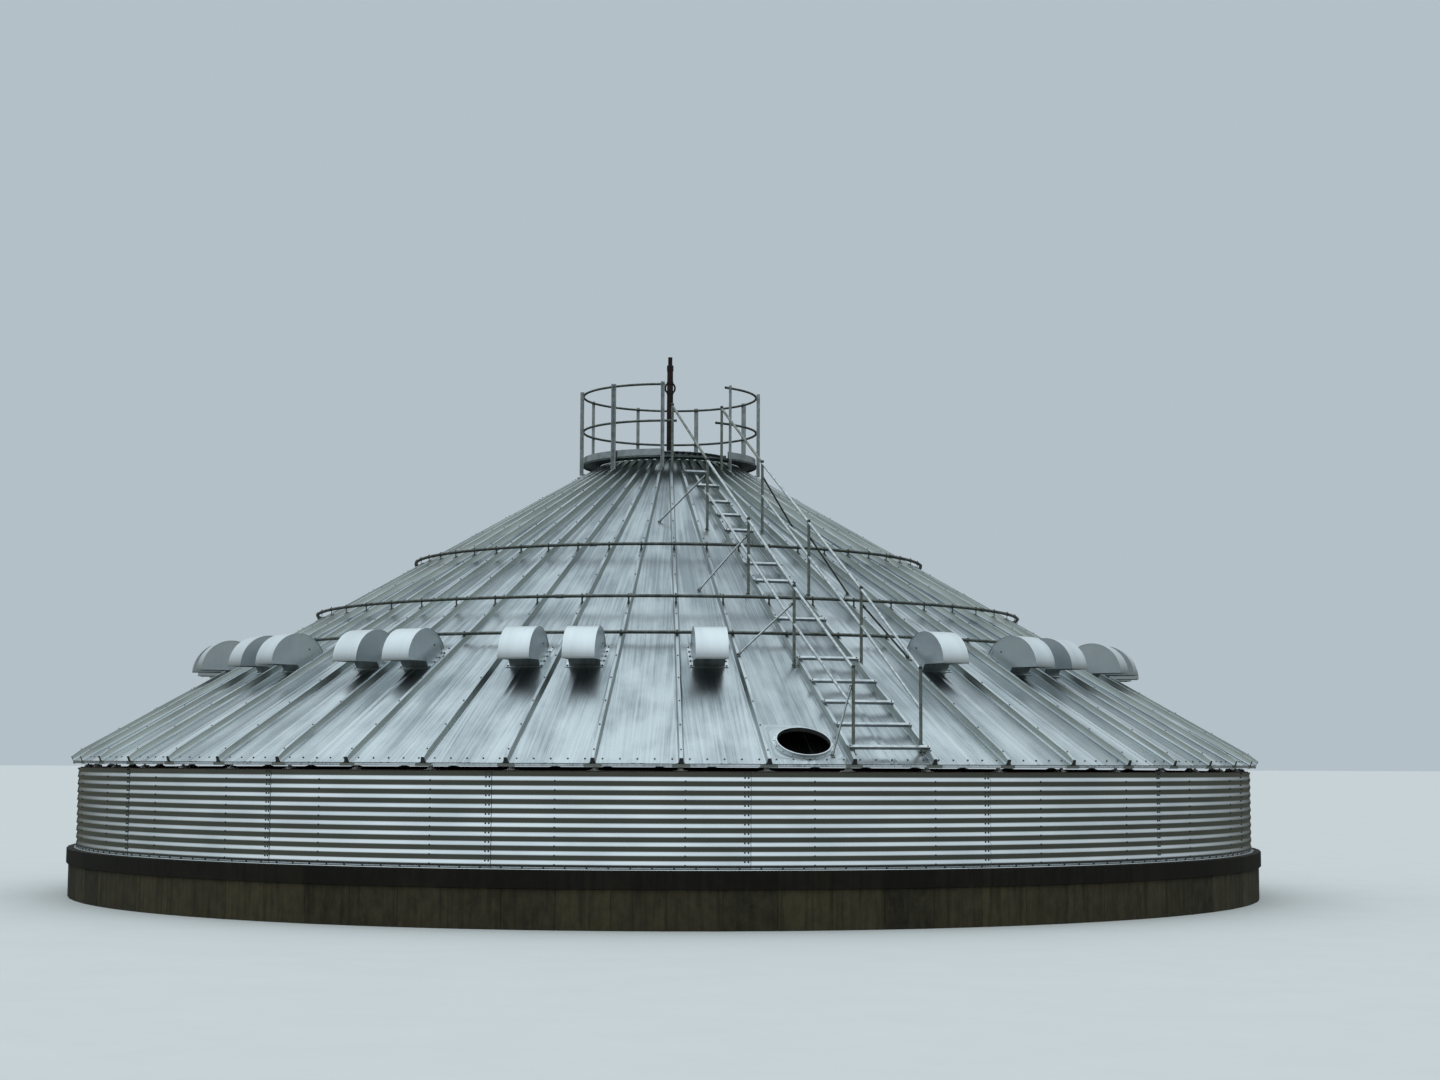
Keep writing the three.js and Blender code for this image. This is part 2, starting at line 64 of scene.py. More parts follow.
# Wall: one ring of corrugated sheets. Each sheet's right end lies over the next sheet.
SHEET_COUNT = 18
FIRST_SEAM = 6.37
WALL_RADIUS = 8.2296
CORRUGATIONS = 11
PITCH = 0.1016
CORRUGATION_DEPTH = 0.0127
FLANK_SHAPE = 0.93
SHEET_THICKNESS = 0.002
SHEET_LAP = 0.085
LAP_LIFT = 0.0035
EAVE_GAP = 0.052
EAVE_RING_TOP = 0.041
POINTS_PER_WAVE = 12
STEPS_PER_SHEET = 16
SEAM_BOLT_COLUMNS = (0.024, 0.064)
SEAM_BOLT_DROP = 0.012
SHEET_BOLT_SHARES = (0.25, 0.75)
SEAL_EDGES = (0.001, -0.006)
BASE_BOLT_SPACING = 0.235
BASE_BOLT_UP = 0.026

# Clips on a ring inside the wall's top edge
CLIP_INNER = 8.07
CLIP_OUTER = 8.17
CLIP_WIDTH = 0.21
CLIP_ARM_HEIGHT = 0.026
CLIP_BUMP_HEIGHT = 0.046
CLIP_BUMP_WIDTH = 0.07
CLIP_STEPS = 20

# Roof: flat pans between raised hollow ribs
EAVE_RADIUS = 8.35
PEAK_RADIUS = 0.79
SLOPE = math.radians(30)
LIP = 0.025
PANEL_COUNT = 54
PANELS_PER_SECTOR = 6
FIRST_RIB = 1.02
RIB_HEIGHT = 0.083
RIB_TOP = 0.018
RIB_BASE = 0.031
RIB_ROUNDING = 0.004
RIB_FILLET = 0.016
RIB_FLANGE = 0.056
LAP_RISE = 0.0025
PAN_SETBACK = 0.03
RIB_END_TAPER = 0.12
RIB_END_DROP = 0.022
BEAD_OFFSET = 0.046
BEAD_HALF_WIDTH = 0.011
BEAD_HEIGHT = 0.0035
BEADS_END = 2.3
BEAD_RUN_OUT = 0.2
FULL_HALF_PAN = 0.13
LIP_TO_RIB = 0.1
LIP_FOLD = 0.004
EAVE_FILLER = (0.2, 0.012, 0.038)
EAVE_BOLTS_PER_PANEL = 5
EAVE_BOLT_SPACING = 0.191
EAVE_BOLT_UP = 0.133
BOLT_OFF_BEAD = 0.02
FIRST_RIB_BOLT = 0.13
LAST_RIB_BOLT = 0.5
RIB_BOLT_SPACING = 0.56
PAN_SAG = 0.004
PAN_STEPS = 22
# Where painted shade makes the pans' zinc darker and duller, up the slope from the eave, how deep its
# long waves are, and how far each panel's streaks are shifted
SHADED_UP_SLOPE = (0.4, 4.5)
WAVE_RELIEF = 0.006
STREAK_SHIFT = 1.7

# Roof vents
HOOD_MIDDLE = 6.36
HOOD_BASE = 1.262
HOOD_RADIUS = 0.397
HOOD_HALF_WIDTH = 0.194
HOOD_OVER_PAN = 0.052
HOOD_RECESS = 0.008
HOOD_STEPS = 28
NECK_FRONT = 6.33
NECK_BACK = 6.02
NECK_LENGTH = 0.12
NECK_HALF_WIDTH = 0.19
NECK_SKIRT_TOP = 5.89
NECK_SKIRT_WIDTH = 0.04
NECK_SKIRT_BOLTS = 5

# Manhole
MANHOLE_PANEL = 1
MANHOLE_RADIUS = 0.305
MANHOLE_MIDDLE = 7.92
RIM_HEIGHT = 0.04
RIM_THICKNESS = 0.008
RIM_BOLTS = 16

# Pipe rings round the roof: radius, and height over the rib tops
RING_PIPE = 0.021
ROOF_RINGS = {
    "roof_ring_upper": (3.67, 0.067),
    "roof_ring_middle": (5.05, 0.084),
    "roof_ring_lower": (5.8, RING_PIPE / math.cos(SLOPE)),
}
COUPLERS_PER_RING = 5
FIRST_COUPLER = 8.3
COUPLER_HALF_LENGTH = 0.05

# Roof stair. Each step: its distance out, and its offset across the panel.
STAIR_PANEL = 2
STAIR_STEPS = (
    (8.17, -0.018), (7.723, -0.018), (7.263, -0.018), (6.822, -0.018), (6.325, -0.018),
    (5.42, -0.018), (4.49, -0.018), (4.047, -0.018), (3.15, -0.032), (2.716, -0.032),
    (2.335, -0.04), (1.86, -0.04), (1.44, -0.08),
)
STEP_DEPTH = 0.05
STEP_HEIGHT = 0.035
STEP_LEAST_LENGTH = 0.33
STEP_SHEET = 0.004
RAIL_PIPE = 0.019
BRACE_PIPE = 0.0125
POST_HEIGHT = 0.98
TOP_POST_HEIGHT = 0.935
RAIL_DROP = 0.04
MID_RAIL = 0.5
BRACE_HEIGHT = 0.735
# Each post: distance out, distance across, stands on a rib, brace foot (out, across, on a rib), brace sides
RAIL_POSTS = (
    (8.09, 0.41, False, (8.128, 0.673, False), "left"),
    (6.29, 0.433, False, (6.175, 1.095, True), "both"),
    (4.6, 0.41, False, (4.44, 1.015, False), "both"),
    (2.905, 0.392, False, (2.56, 0.955, False), "both"),
    (1.275, 0.368, True, None, ""),
)

# Peak platform, railing and collar. Heights are over the eave line.
PLATFORM_RADIUS = 1.283
PLATFORM_INNER = 1.02
PLATFORM_HEIGHT = 4.38
PLATFORM_THICKNESS = 0.024
PLANK_SHEET = 0.003
TOE_BOARD_RADIUS = 1.265
TOE_BOARD_TOP = 4.475
TOE_BOARD_SHEET = 0.004
PLATFORM_POST_RIBS = (6, 12, 18, 24, 30, 36, 42, 48, 53)
POST_LEG = 0.05
POST_SHEET = 0.005
POST_TOP = 5.43
POST_FOOT = (0.05, 0.13, 0.007)
TOP_RAIL_HEIGHT = 5.395
MID_RAIL_HEIGHT = 4.871
RAIL_RING = 1.269
HANDRAIL = 0.017
TOP_RAIL_REACH = 2.4
MID_RAIL_REACH = 10.0
RAIL_STEPS = 110
COLLAR_INNER = 0.735
COLLAR_OUTER = 0.78
COLLAR_FLANGE = 0.85
COLLAR_DEPTH = 0.12

# Mast
MAST_RADIUS = 0.047
MAST_TOP = 6.0
MAST_NECK = 0.032
MAST_NECK_LENGTH = 0.12
CROSS_BAR = (1.66, 0.09, 0.046)
EAR_HEIGHT = 5.54
EAR_REACH = 0.085
EAR_ROD = 0.014
EAR_HALF_HEIGHT = 0.062
EAR_SINK = 0.012
EAR_STEPS = 12
EAR_BAND_SHIFT = 0.075
MAST_SIDES = 28

# Camera, from the photograph's viewing point
CAMERA_DISTANCE = 33.43
CAMERA_HEIGHT = 1.8326
CAMERA_YAW = 0.0223
CAMERA_PITCH = 0.0964
CAMERA_ROLL = 0.0043
CAMERA_FOCAL_PIXELS = 2292
IMAGE_WIDTH = 1440
SENSOR_WIDTH = 36

# Worked out from the sizes above and the frame
slab_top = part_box("floor_slab")[1].z
stem_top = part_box("foundation_wall")[1].z
eave_line = slab_top + CORRUGATIONS * PITCH
panel_angle = 360 / PANEL_COUNT
half_panel = math.radians(panel_angle / 2)
slope_rise = math.tan(SLOPE)
rib_rise = RIB_HEIGHT / math.cos(SLOPE)
pan_edge = EAVE_RADIUS - PAN_SETBACK


def linear(hex_colour):
    """A colour from an sRGB hex value."""
    channels = [int(hex_colour[start:start + 2], 16) / 255 for start in (0, 2, 4)]
    return tuple(c / 12.92 if c < 0.04045 else ((c + 0.055) / 1.055) ** 2.4 for c in channels) + (1,)


def add_node(tree, kind, inputs=None, stops=None, **settings):
    """Adds a node. An input given as (node, output) is linked, and any other one is set."""
    node = tree.nodes.new(kind)
    for name, value in settings.items():
        setattr(node, name, value)
    for name, value in (inputs or {}).items():
        if isinstance(value, tuple) and isinstance(value[0], bpy.types.Node):
            tree.links.new(value[0].outputs[value[1]], node.inputs[name])
        else:
            node.inputs[name].default_value = value
    if stops:
        elements = node.color_ramp.elements
        while len(elements) < len(stops):
            elements.new(0.5)
        for element, (position, colour) in zip(elements, stops):
            element.position = position
            element.color = colour
    return node


def new_material(name):
    """A new material, and its empty tree."""
    material = bpy.data.materials.new(name)
    material.use_nodes = True
    material.node_tree.nodes.clear()
    return material, material.node_tree


def math_node(tree, operation, *values):
    return (add_node(tree, "ShaderNodeMath", dict(enumerate(values)), operation=operation), 0)


def scaled(tree, source, factors):
    return (add_node(tree, "ShaderNodeVectorMath", {0: source, 1: factors}, operation="MULTIPLY"), 0)


def noise(tree, source, scale, detail, rough=0.5):
    inputs = {"Vector": source, "Scale": scale, "Detail": detail, "Roughness": rough}
    return (add_node(tree, "ShaderNodeTexNoise", inputs), 0)


def remap(tree, source, before, after):
    """Carries the values of one span over to another."""
    inputs = {"Value": source, "From Min": before[0], "From Max": before[1]}
    inputs.update({"To Min": after[0], "To Max": after[1]})
    return (add_node(tree, "ShaderNodeMapRange", inputs), 0)


def ramp(tree, source, stops):
    return (add_node(tree, "ShaderNodeValToRGB", {"Fac": source}, stops), 0)


def relief_on(tree, source, strength, distance, under=None):
    inputs = {"Height": source, "Strength": strength, "Distance": distance}
    if under:
        inputs["Normal"] = under
    return (add_node(tree, "ShaderNodeBump", inputs), 0)


def shade(tree, inputs):
    """The shader at the end of a material's tree."""
    shader = add_node(tree, "ShaderNodeBsdfPrincipled", inputs)
    add_node(tree, "ShaderNodeOutputMaterial", {"Surface": (shader, 0)})


def galvanised_sheet(name, light, dark, roughness, streak_mm, smudge_mm, relief, shares, wave=0, shade_climb=0):
    """Hot-dip galvanised sheet: a satin zinc skin with drawn streaks along the sheet, large soft
    damp smudges that dull it, and a surface that isn't quite flat, so reflections waver.
    The shares say how much of its unevenness the streaks and the smudges make, the wave is its width
    in mm, and the shade climb is how much painted shade darkens and dulls the sheet towards its upper end."""
    material, tree = new_material(name)
    run = (add_node(tree, "ShaderNodeAttribute", attribute_name="run"), "Vector")
    streaks = noise(tree, scaled(tree, run, (1000 / streak_mm, 0.55, 1.0)), 1.0, 3.0, 0.6)
    patches = noise(tree, scaled(tree, run, (1.0, 0.45, 1.0)), 1000 / smudge_mm, 4.0, 0.55)
    drawn = remap(tree, streaks, (0.38, 0.66), (0.0, shares[0]))
    where_drawn = remap(tree, patches, (0.36, 0.6), (0.35, 1.0))
    smudges = remap(tree, patches, (0.4, 0.66), (0.0, shares[1]))
    tone = math_node(tree, "MULTIPLY_ADD", drawn, where_drawn, smudges)
    # Painted shade: the sheet gets darker and duller towards its upper end
    if shade_climb:
        run_parts = add_node(tree, "ShaderNodeSeparateXYZ", {"Vector": run})
        tone = math_node(tree, "ADD", tone, remap(tree, (run_parts, 1), SHADED_UP_SLOPE, (0.0, shade_climb)))
    surface = relief_on(tree, streaks, 0.5, relief)
    if wave:
        waves = noise(tree, scaled(tree, run, (1000 / wave, 0.9, 1.0)), 1.0, 1.0)
        surface = relief_on(tree, waves, 1.0, WAVE_RELIEF, surface)
    shade(tree, {
        "Base Color": ramp(tree, tone, [(0.0, linear(light)), (1.0, linear(dark))]), "Metallic": 1.0,
        "Roughness": remap(tree, tone, (0.0, 1.0), roughness), "Normal": surface,
    })
    return material


def mottled(name, colours, spot_mm, roughness, metallic, relief, stretch=(1.0, 1.0, 1.0)):
    """A surface that is mottled at one size of spot: weathered pipe, rust or rubber."""
    material, tree = new_material(name)
    spot = (add_node(tree, "ShaderNodeTexCoord"), "Object")
    mottle = noise(tree, scaled(tree, spot, stretch), 1000 / spot_mm, 6.0, 0.65)
    spread = len(colours) - 1
    stops = [(0.34 + 0.32 * step / spread, linear(colour)) for step, colour in enumerate(colours)]
    shade(tree, {
        "Base Color": ramp(tree, mottle, stops), "Metallic": metallic,
        "Roughness": remap(tree, mottle, (0.3, 0.7), roughness),
        "Normal": relief_on(tree, mottle, 0.6, relief),
    })
    return material


def cast_concrete(name, dry, damp, stain):
    """Concrete cast against forms: each form leaves its own tone, with fine mottling, and drips
    run down the face."""
    material, tree = new_material(name)
    run = (add_node(tree, "ShaderNodeAttribute", attribute_name="run"), "Vector")
    parts = add_node(tree, "ShaderNodeSeparateXYZ", {"Vector": run})
    form = math_node(tree, "FLOOR", (parts, 0))
    form_tone = (add_node(tree, "ShaderNodeTexWhiteNoise", {"W": form}, noise_dimensions="1D"), 0)
    mottle = noise(tree, run, 5.0, 8.0, 0.7)
    drips = noise(tree, scaled(tree, run, (9.0, 1.2, 1.0)), 1.0, 4.0)
    tone = math_node(tree, "MULTIPLY_ADD", form_tone, 0.3, mottle)
    colour = ramp(tree, tone, [(0.35, linear(stain)), (0.62, linear(damp)), (0.9, linear(dry))])
    dripped = remap(tree, drips, (0.48, 0.66), (0.0, 0.55))
    face = add_node(tree, "ShaderNodeMix", {0: dripped, 6: colour, 7: linear(stain)}, data_type="RGBA")
    shade(tree, {
        "Base Color": (face, 2), "Roughness": remap(tree, tone, (0.3, 1.0), (0.62, 0.9)),
        "Specular IOR Level": 0.2, "Normal": relief_on(tree, mottle, 0.7, 0.004),
    })
    return material


# Satin zinc with drawn streaks: bright where it faces the sky, with damp, cloudy patches, and painted shade
# that darkens it up the slope
roof_zinc = galvanised_sheet(
    "galvanised_roof_sheet", "C1C9CC", "889196", (0.25, 0.38), 24, 520, 0.0008, (0.65, 0.4), 260, 0.35
)
# The ribs' sides are rolled harder, so rougher, and their darker colour than the pans' is painted shade
shaded_rib_zinc = galvanised_sheet(
    "dull_galvanised_rib_side_painted_shade", "B0B7B3", "949A96", (0.36, 0.5), 60, 400, 0.0004, (0.3, 0.6)
)
# Rolled corrugated sheet is cleaner and a little glossier, so its flanks show as even bands
wall_zinc = galvanised_sheet(
    "galvanised_wall_sheet", "E3E9EC", "CBD2D6", (0.13, 0.19), 60, 500, 0.0003, (0.4, 0.6)
)
# The vent covers are new sheet, pale and nearly even
vent_zinc = galvanised_sheet(
    "galvanised_vent_sheet", "D3DADC", "C6CDD0", (0.36, 0.4), 50, 260, 0.0002, (0.35, 0.65)
)
# The necks under the hoods are dull zinc, coloured darker than the hoods as painted shade
shaded_neck_zinc = galvanised_sheet(
    "dull_galvanised_neck_sheet_painted_shade", "A2A9AB", "7C8284", (0.5, 0.6), 60, 200, 0.0006, (0.7, 0.3)
)
# Post pipe weathered to a dull grey-green skin
pipe_zinc = mottled(
    "weathered_galvanised_pipe", ("8F958E", "7D837D", "676D68"), 60, (0.42, 0.6), 0.8, 0.0006
)
# Ring and railing pipe, darker and duller, so that it draws a dark line over the bright roof; on the
# stair's right-hand braces the same dark finish is painted shade
dark_pipe_and_shaded_brace = mottled("dull_dark_ring_pipe_and_shaded_brace", ("6B706A", "585D58", "464B46"), 60, (0.38, 0.55), 0.85, 0.0006)
# Handrails and braces of newer pipe: bright where they face the sky, dark underneath
rail_zinc = mottled(
    "galvanised_handrail_pipe", ("C2C9CA", "AEB5B6", "969D9E"), 60, (0.22, 0.34), 1.0, 0.0004
)
# Bent step sheet, smooth and bright on its back
step_zinc = mottled("galvanised_step_sheet", ("D0D7DA", "BEC5C8", "A9B0B3"), 80, (0.25, 0.36), 1.0, 0.0003)
# Rolled angle iron of the platform's posts, a dull even zinc
post_zinc = mottled(
    "galvanised_angle_iron", ("ABB3B3", "999F9F", "868D8D"), 90, (0.5, 0.62), 0.5, 0.0005
)
# Platform planks: dull, and coloured dark all over as painted shade for their shaded undersides
shaded_platform_zinc = mottled(
    "dull_galvanised_plank_painted_shade", ("7D8586", "6B7374", "5A6263"), 90, (0.45, 0.6), 0.9, 0.0005
)
# The toe board is satin sheet, a little duller than the roof
toe_zinc = mottled(
    "galvanised_toe_board_sheet", ("BCC5C8", "ADB6B9", "9CA5A8"), 120, (0.34, 0.45), 1.0, 0.0004
)
# Zinc-plated bolt heads
bolt_zinc = mottled("zinc_plated_bolt", ("7F8587", "666C6E"), 20, (0.35, 0.5), 1.0, 0.0002)
# The eave clips are near white without metal sheen, a painted reflection of the bright low sky, so they
# stay pale under the eave's edge
clip_painted_reflection = mottled("eave_clip_painted_sky_reflection", ("FAFBFB", "F2F4F4"), 40, (0.4, 0.5), 0.0, 0.0002)
# The angle ring inside the wall's top is primed mill steel, a dull brown
primed_steel = mottled("dull_brown_primed_steel", ("7A6C65", "655A54"), 80, (0.55, 0.75), 0.2, 0.0005)
# Black sealing rubber under bolt heads and along the laps; the same black is painted shade in the eave
# lips' folds and inside the open posts' bores
black_rubber_and_shade = mottled("black_sealing_rubber_and_painted_shade", ("23282A", "2E3436"), 30, (0.6, 0.8), 0.0, 0.0004)
fasteners = [bolt_zinc, black_rubber_and_shade]
# Mill steel left outdoors: dark red-brown rust with blackish patches
rusted_steel = mottled(
    "rusted_steel", ("0F0B0A", "1E1412", "341D17"), 70, (0.8, 0.95), 0.1, 0.0015, (1.0, 1.0, 0.5)
)
stem_concrete = cast_concrete("cast_concrete_stem", "47422F", "383425", "201E14")
slab_concrete = cast_concrete("wet_cast_concrete_slab", "221F16", "191710", "0F0E09")


def new_mesh(name, corners, faces):
    mesh = bpy.data.meshes.new(name)
    mesh.from_pydata([tuple(corner) for corner in corners], [], faces)
    return mesh


def new_object(name, data):
    piece = bpy.data.objects.new(name, data)
    bpy.context.scene.collection.objects.link(piece)
    return piece


def circle(middle, side, other, radius, sides):
    turns = [2 * math.pi * step / sides for step in range(sides)]
    return [middle + (side * math.cos(turn) + other * math.sin(turn)) * radius for turn in turns]


class Form:
    """The corners and faces of one piece. Each corner keeps its place along the sheet, and each
    face its finish, where None is the piece's first one."""

    def __init__(self):
        self.corners = []
        self.runs = []
        self.faces = []
        self.finishes = []

    def add(self, corners, faces, finish=None, runs=None):
        first = len(self.corners)
        self.corners.extend(corners)
        self.runs.extend(runs or [tuple(corner) for corner in corners])
        for index, face in enumerate(faces):
            self.faces.append([first + corner for corner in face])
            self.finishes.append(finish[index % len(finish)] if isinstance(finish, tuple) else finish)

    def strip(self, rows, finish=None, looped=False, runs=None):
        """Joins each closed row of corners to the next. Looped rows meet again, others are capped.
        The finish is one for all, or a tuple with one for each side."""
        count = len(rows[0])
        faces = []
        for step in range(len(rows) if looped else len(rows) - 1):
            here = step * count
            there = (step + 1) % len(rows) * count
            for side in range(count):
                following = (side + 1) % count
                faces.append((here + side, here + following, there + following, there + side))
        if not looped:
            last = (len(rows) - 1) * count
            faces.append(tuple(reversed(range(count))))
            faces.append(tuple(range(last, last + count)))
        flat_runs = [run for row in runs for run in row] if runs else None
        self.add([corner for row in rows for corner in row], faces, finish, flat_runs)

    def lathe(self, foot, axis, profile, sides=16, finish=None, looped=False):
        """Turns a profile of (radius, height) round an axis that starts at the foot."""
        side = axis.orthogonal().normalized()
        other = axis.cross(side)
        rows = [circle(foot + axis * height, side, other, radius, sides) for radius, height in profile]
        self.strip(rows, finish, looped=looped)

    def tube(self, path, radius, sides=12, finish=None, looped=False):
        """A round bar along a path of places."""
        count = len(path)
        side = None
        rows = []
        for index, spot in enumerate(path):
            before = path[index - 1] if looped or index > 0 else spot
            after = path[(index + 1) % count] if looped or index < count - 1 else spot
            direction = (after - before).normalized()
            if side is None:
                side = direction.orthogonal().normalized()
            side = (side - direction * side.dot(direction)).normalized()
            rows.append(circle(spot, side, direction.cross(side), radius, sides))
        self.strip(rows, finish, looped=looped)

    def block(self, middle, across, along, up, size, finish=None):
        """A box with its sides along three directions."""
        width, length, height = (extent / 2 for extent in size)
        rows = []
        for end in (-height, height):
            rows.append([
                middle + across * x * width + along * y * length + up * end
                for x, y in ((-1, -1), (1, -1), (1, 1), (-1, 1))
            ])
        self.strip(rows, finish)

    def bolt(self, spot, normal, size=1.0):
        """A hexagon bolt head on a sealing washer."""
        washer = ((WASHER_RADIUS * size, 0), (WASHER_TOP_RADIUS * size, WASHER_HEIGHT * size))
        self.lathe(spot - normal * WASHER_SINK, normal, washer, 8, black_rubber_and_shade)
        head = ((HEAD_RADIUS * size, WASHER_SINK), (HEAD_RADIUS * size, HEAD_TOP * size))
        self.lathe(spot, normal, head, 6, bolt_zinc)


def build(name, form, finishes, replaced=()):
    """Makes the piece, with faces turned outwards, rounded faces smooth and edges sharp."""
    mesh = new_mesh(name, form.corners, form.faces)
    mesh.attributes.new("run", "FLOAT_VECTOR", "POINT")
    mesh.attributes["run"].data.foreach_set("vector", [value for run in form.runs for value in run])
    slots = {None: 0}
    for index, finish in enumerate(finishes):
        mesh.materials.append(finish)
        slots[finish] = index
    mesh.polygons.foreach_set("material_index", [slots[finish] for finish in form.finishes])
    shape = bmesh.new()
    shape.from_mesh(mesh)
    bmesh.ops.recalc_face_normals(shape, faces=shape.faces)
    shape.to_mesh(mesh)
    shape.free()
    mesh.polygons.foreach_set("use_smooth", [True] * len(mesh.polygons))
    mesh.set_sharp_from_angle(angle=SHARP_EDGE)
    piece = new_object(name, mesh)
    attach(piece, "root")
    if replaced:
        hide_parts(*replaced)
    return piece


UP = Vector((0, 0, 1))


def place(angle, along, across, height):
    """A place by its distance out along one direction and its distance across it."""
    turn = math.radians(angle)
    return Vector((
        along * math.sin(turn) + across * math.cos(turn),
        -along * math.cos(turn) + across * math.sin(turn),
        height,
    ))


def outward(angle):
    return place(angle, 1, 0, 0)


def sideways(angle):
    return place(angle, 0, 1, 0)


def up_slope(angle):
    return place(angle, -math.cos(SLOPE), 0, math.sin(SLOPE))


def off_slope(angle):
    return place(angle, math.sin(SLOPE), 0, math.cos(SLOPE))


def rib_angle(rib):
    return FIRST_RIB + rib * panel_angle


def panel_middle(panel):
    return rib_angle(panel + 0.5)


def pan_height(radius):
    return eave_line + LIP + (EAVE_RADIUS - radius) * slope_rise


def mid_pan_height(along):
    """Height of the pan on its middle line."""
    return pan_height(along / math.cos(half_panel))


def pan_height_at(x, y):
    angle = math.degrees(math.atan2(x, -y))
    panel = math.floor((angle - FIRST_RIB) / panel_angle)
    turn = math.radians(angle - panel_middle(panel))
    return mid_pan_height(math.hypot(x, y) * math.cos(turn) - RIB_BASE * math.sin(half_panel))


def over_pan(angle, out, across, lift):
    """A place a little off the pan's middle, square to the slope."""
    return place(angle, out, across, mid_pan_height(out)) + off_slope(angle) * lift


def upright_block(form, angle, middle, size, finish=None):
    form.block(middle, sideways(angle), outward(angle), UP, size, finish)


def sloped_block(form, angle, middle, size):
    form.block(middle, sideways(angle), up_slope(angle), off_slope(angle), size)


def row(angle, across, outline):
    """An outline of (distance out, height) set up along one direction."""
    return [place(angle, out, across, height) for out, height in outline]


def ring_part(form, outline, start, sweep, steps, finish=None):
    """An outline turned part of the way round."""
    form.strip([row(start + sweep * step / steps, 0, outline) for step in range(steps + 1)], finish)


def plate(form, angle, outline, across, thickness, finish=None):
    """A plate of an outline, stood upright along one direction."""
    form.strip([row(angle, across + side, outline) for side in (-thickness / 2, thickness / 2)], finish)


# Foundation
def concrete_ring(name, radius, low, high, node, finish, joints):
    """A round cast piece of flat forms, with a groove at each joint between forms."""
    form = Form()
    form_angle = 360 / FORM_COUNT
    half_joint = math.degrees(FORM_JOINT / radius) / 2
    depth = FORM_JOINT_DEPTH if joints else 0.0
    stops = ((0.0, depth), (half_joint, 0.0), (form_angle - half_joint, 0.0))
    spots = [(number, offset, sunk) for number in range(FORM_COUNT) for offset, sunk in stops]
    rows = []
    runs = []
    for height, inset in ((low, 0.0), (high - SLAB_CHAMFER, 0.0), (high, SLAB_CHAMFER)):
        rows.append([
            place(number * form_angle + offset, radius - inset - sunk, 0, height)
            for number, offset, sunk in spots
        ])
        runs.append([(number + offset / form_angle, height, 0.0) for number, offset, sunk in spots])
    form.strip(rows, runs=runs)
    build(name, form, [finish], [node])


concrete_ring("cast_stem_wall", STEM_RADIUS, 0.0, stem_top - 0.001, "foundation_wall", stem_concrete, True)
concrete_ring("cast_floor_slab", SLAB_RADIUS, stem_top, slab_top, "floor_slab", slab_concrete, False)


# Wall
def corrugation(height):
    """How far the sheet stands out from its middle radius."""
    wave = -math.cos(2 * math.pi * (eave_line - height) / PITCH)
    return CORRUGATION_DEPTH / 2 * math.asin(FLANK_SHAPE * wave) / math.asin(FLANK_SHAPE)


wall_top = eave_line - EAVE_GAP
wall_low = slab_top + 0.001
wall_points = round((wall_top - wall_low) / PITCH * POINTS_PER_WAVE)
wall_heights = [wall_top + (wall_low - wall_top) * step / wall_points for step in range(wall_points + 1)]


def wall_outline(angle, lift):
    """The sheet's closed section at one angle: down the outside and back up the inside."""
    face = [(WALL_RADIUS + corrugation(height) + lift, height) for height in wall_heights]
    outer = [place(angle, radius, 0, height) for radius, height in face]
    inner = [place(angle, radius - SHEET_THICKNESS, 0, height) for radius, height in face]
    return outer + inner[::-1]


def wall_run(angle):
    run = [(height, math.radians(angle) * WALL_RADIUS, 0.0) for height in wall_heights]
    return run + run[::-1]


def wall_bolt(form, angle, height, lift, size=1.0):
    radius = WALL_RADIUS + corrugation(height) + lift
    form.bolt(place(angle, radius, 0, height), outward(angle), size=size)


def wall_sheet(sheet):
    sweep = 360 / SHEET_COUNT
    start = FIRST_SEAM + sweep * sheet
    end = start + sweep
    lap = math.degrees(SHEET_LAP / WALL_RADIUS)
    form = Form()
    rows = []
    runs = []
    for step in range(STEPS_PER_SHEET + 1):
        share = step / STEPS_PER_SHEET
        angle = start - lap + (sweep + lap) * share
        rows.append(wall_outline(angle, LAP_LIFT * share))
        runs.append(wall_run(angle))
    form.strip(rows, runs=runs)
    seal_edges = [end - math.degrees(distance / WALL_RADIUS) for distance in SEAL_EDGES]
    form.strip([wall_outline(angle, LAP_LIFT * 0.4) for angle in seal_edges], black_rubber_and_shade)
    crest = eave_line - PITCH / 2
    for distance in SEAM_BOLT_COLUMNS:
        angle = end - math.degrees(distance / WALL_RADIUS)
        for half_wave in range(2 * CORRUGATIONS - 1):
            wall_bolt(form, angle, crest - SEAM_BOLT_DROP - half_wave * PITCH / 2, LAP_LIFT, 0.9)
    for share in SHEET_BOLT_SHARES:
        for wave in range(1, CORRUGATIONS):
            wall_bolt(form, start + sweep * share, crest - wave * PITCH, LAP_LIFT * share)
    base_bolts = round(math.radians(sweep) * WALL_RADIUS / BASE_BOLT_SPACING)
    for number in range(base_bolts):
        share = (number + 0.5) / base_bolts
        wall_bolt(form, start + sweep * share, slab_top + BASE_BOLT_UP, LAP_LIFT * share)
    rib = math.ceil((start - FIRST_RIB) / panel_angle)
    for number in range(rib, rib + PANEL_COUNT // SHEET_COUNT):
        eave_clip(form, rib_angle(number))
    eave_ring(form, start, sweep)
    base_flange(form, start, sweep)
    name = f"wall_sheet_{sheet + 1:02d}"
    finishes = [wall_zinc, *fasteners, clip_painted_reflection, primed_steel]
    build(f"corrugated_{name}", form, finishes, [name])


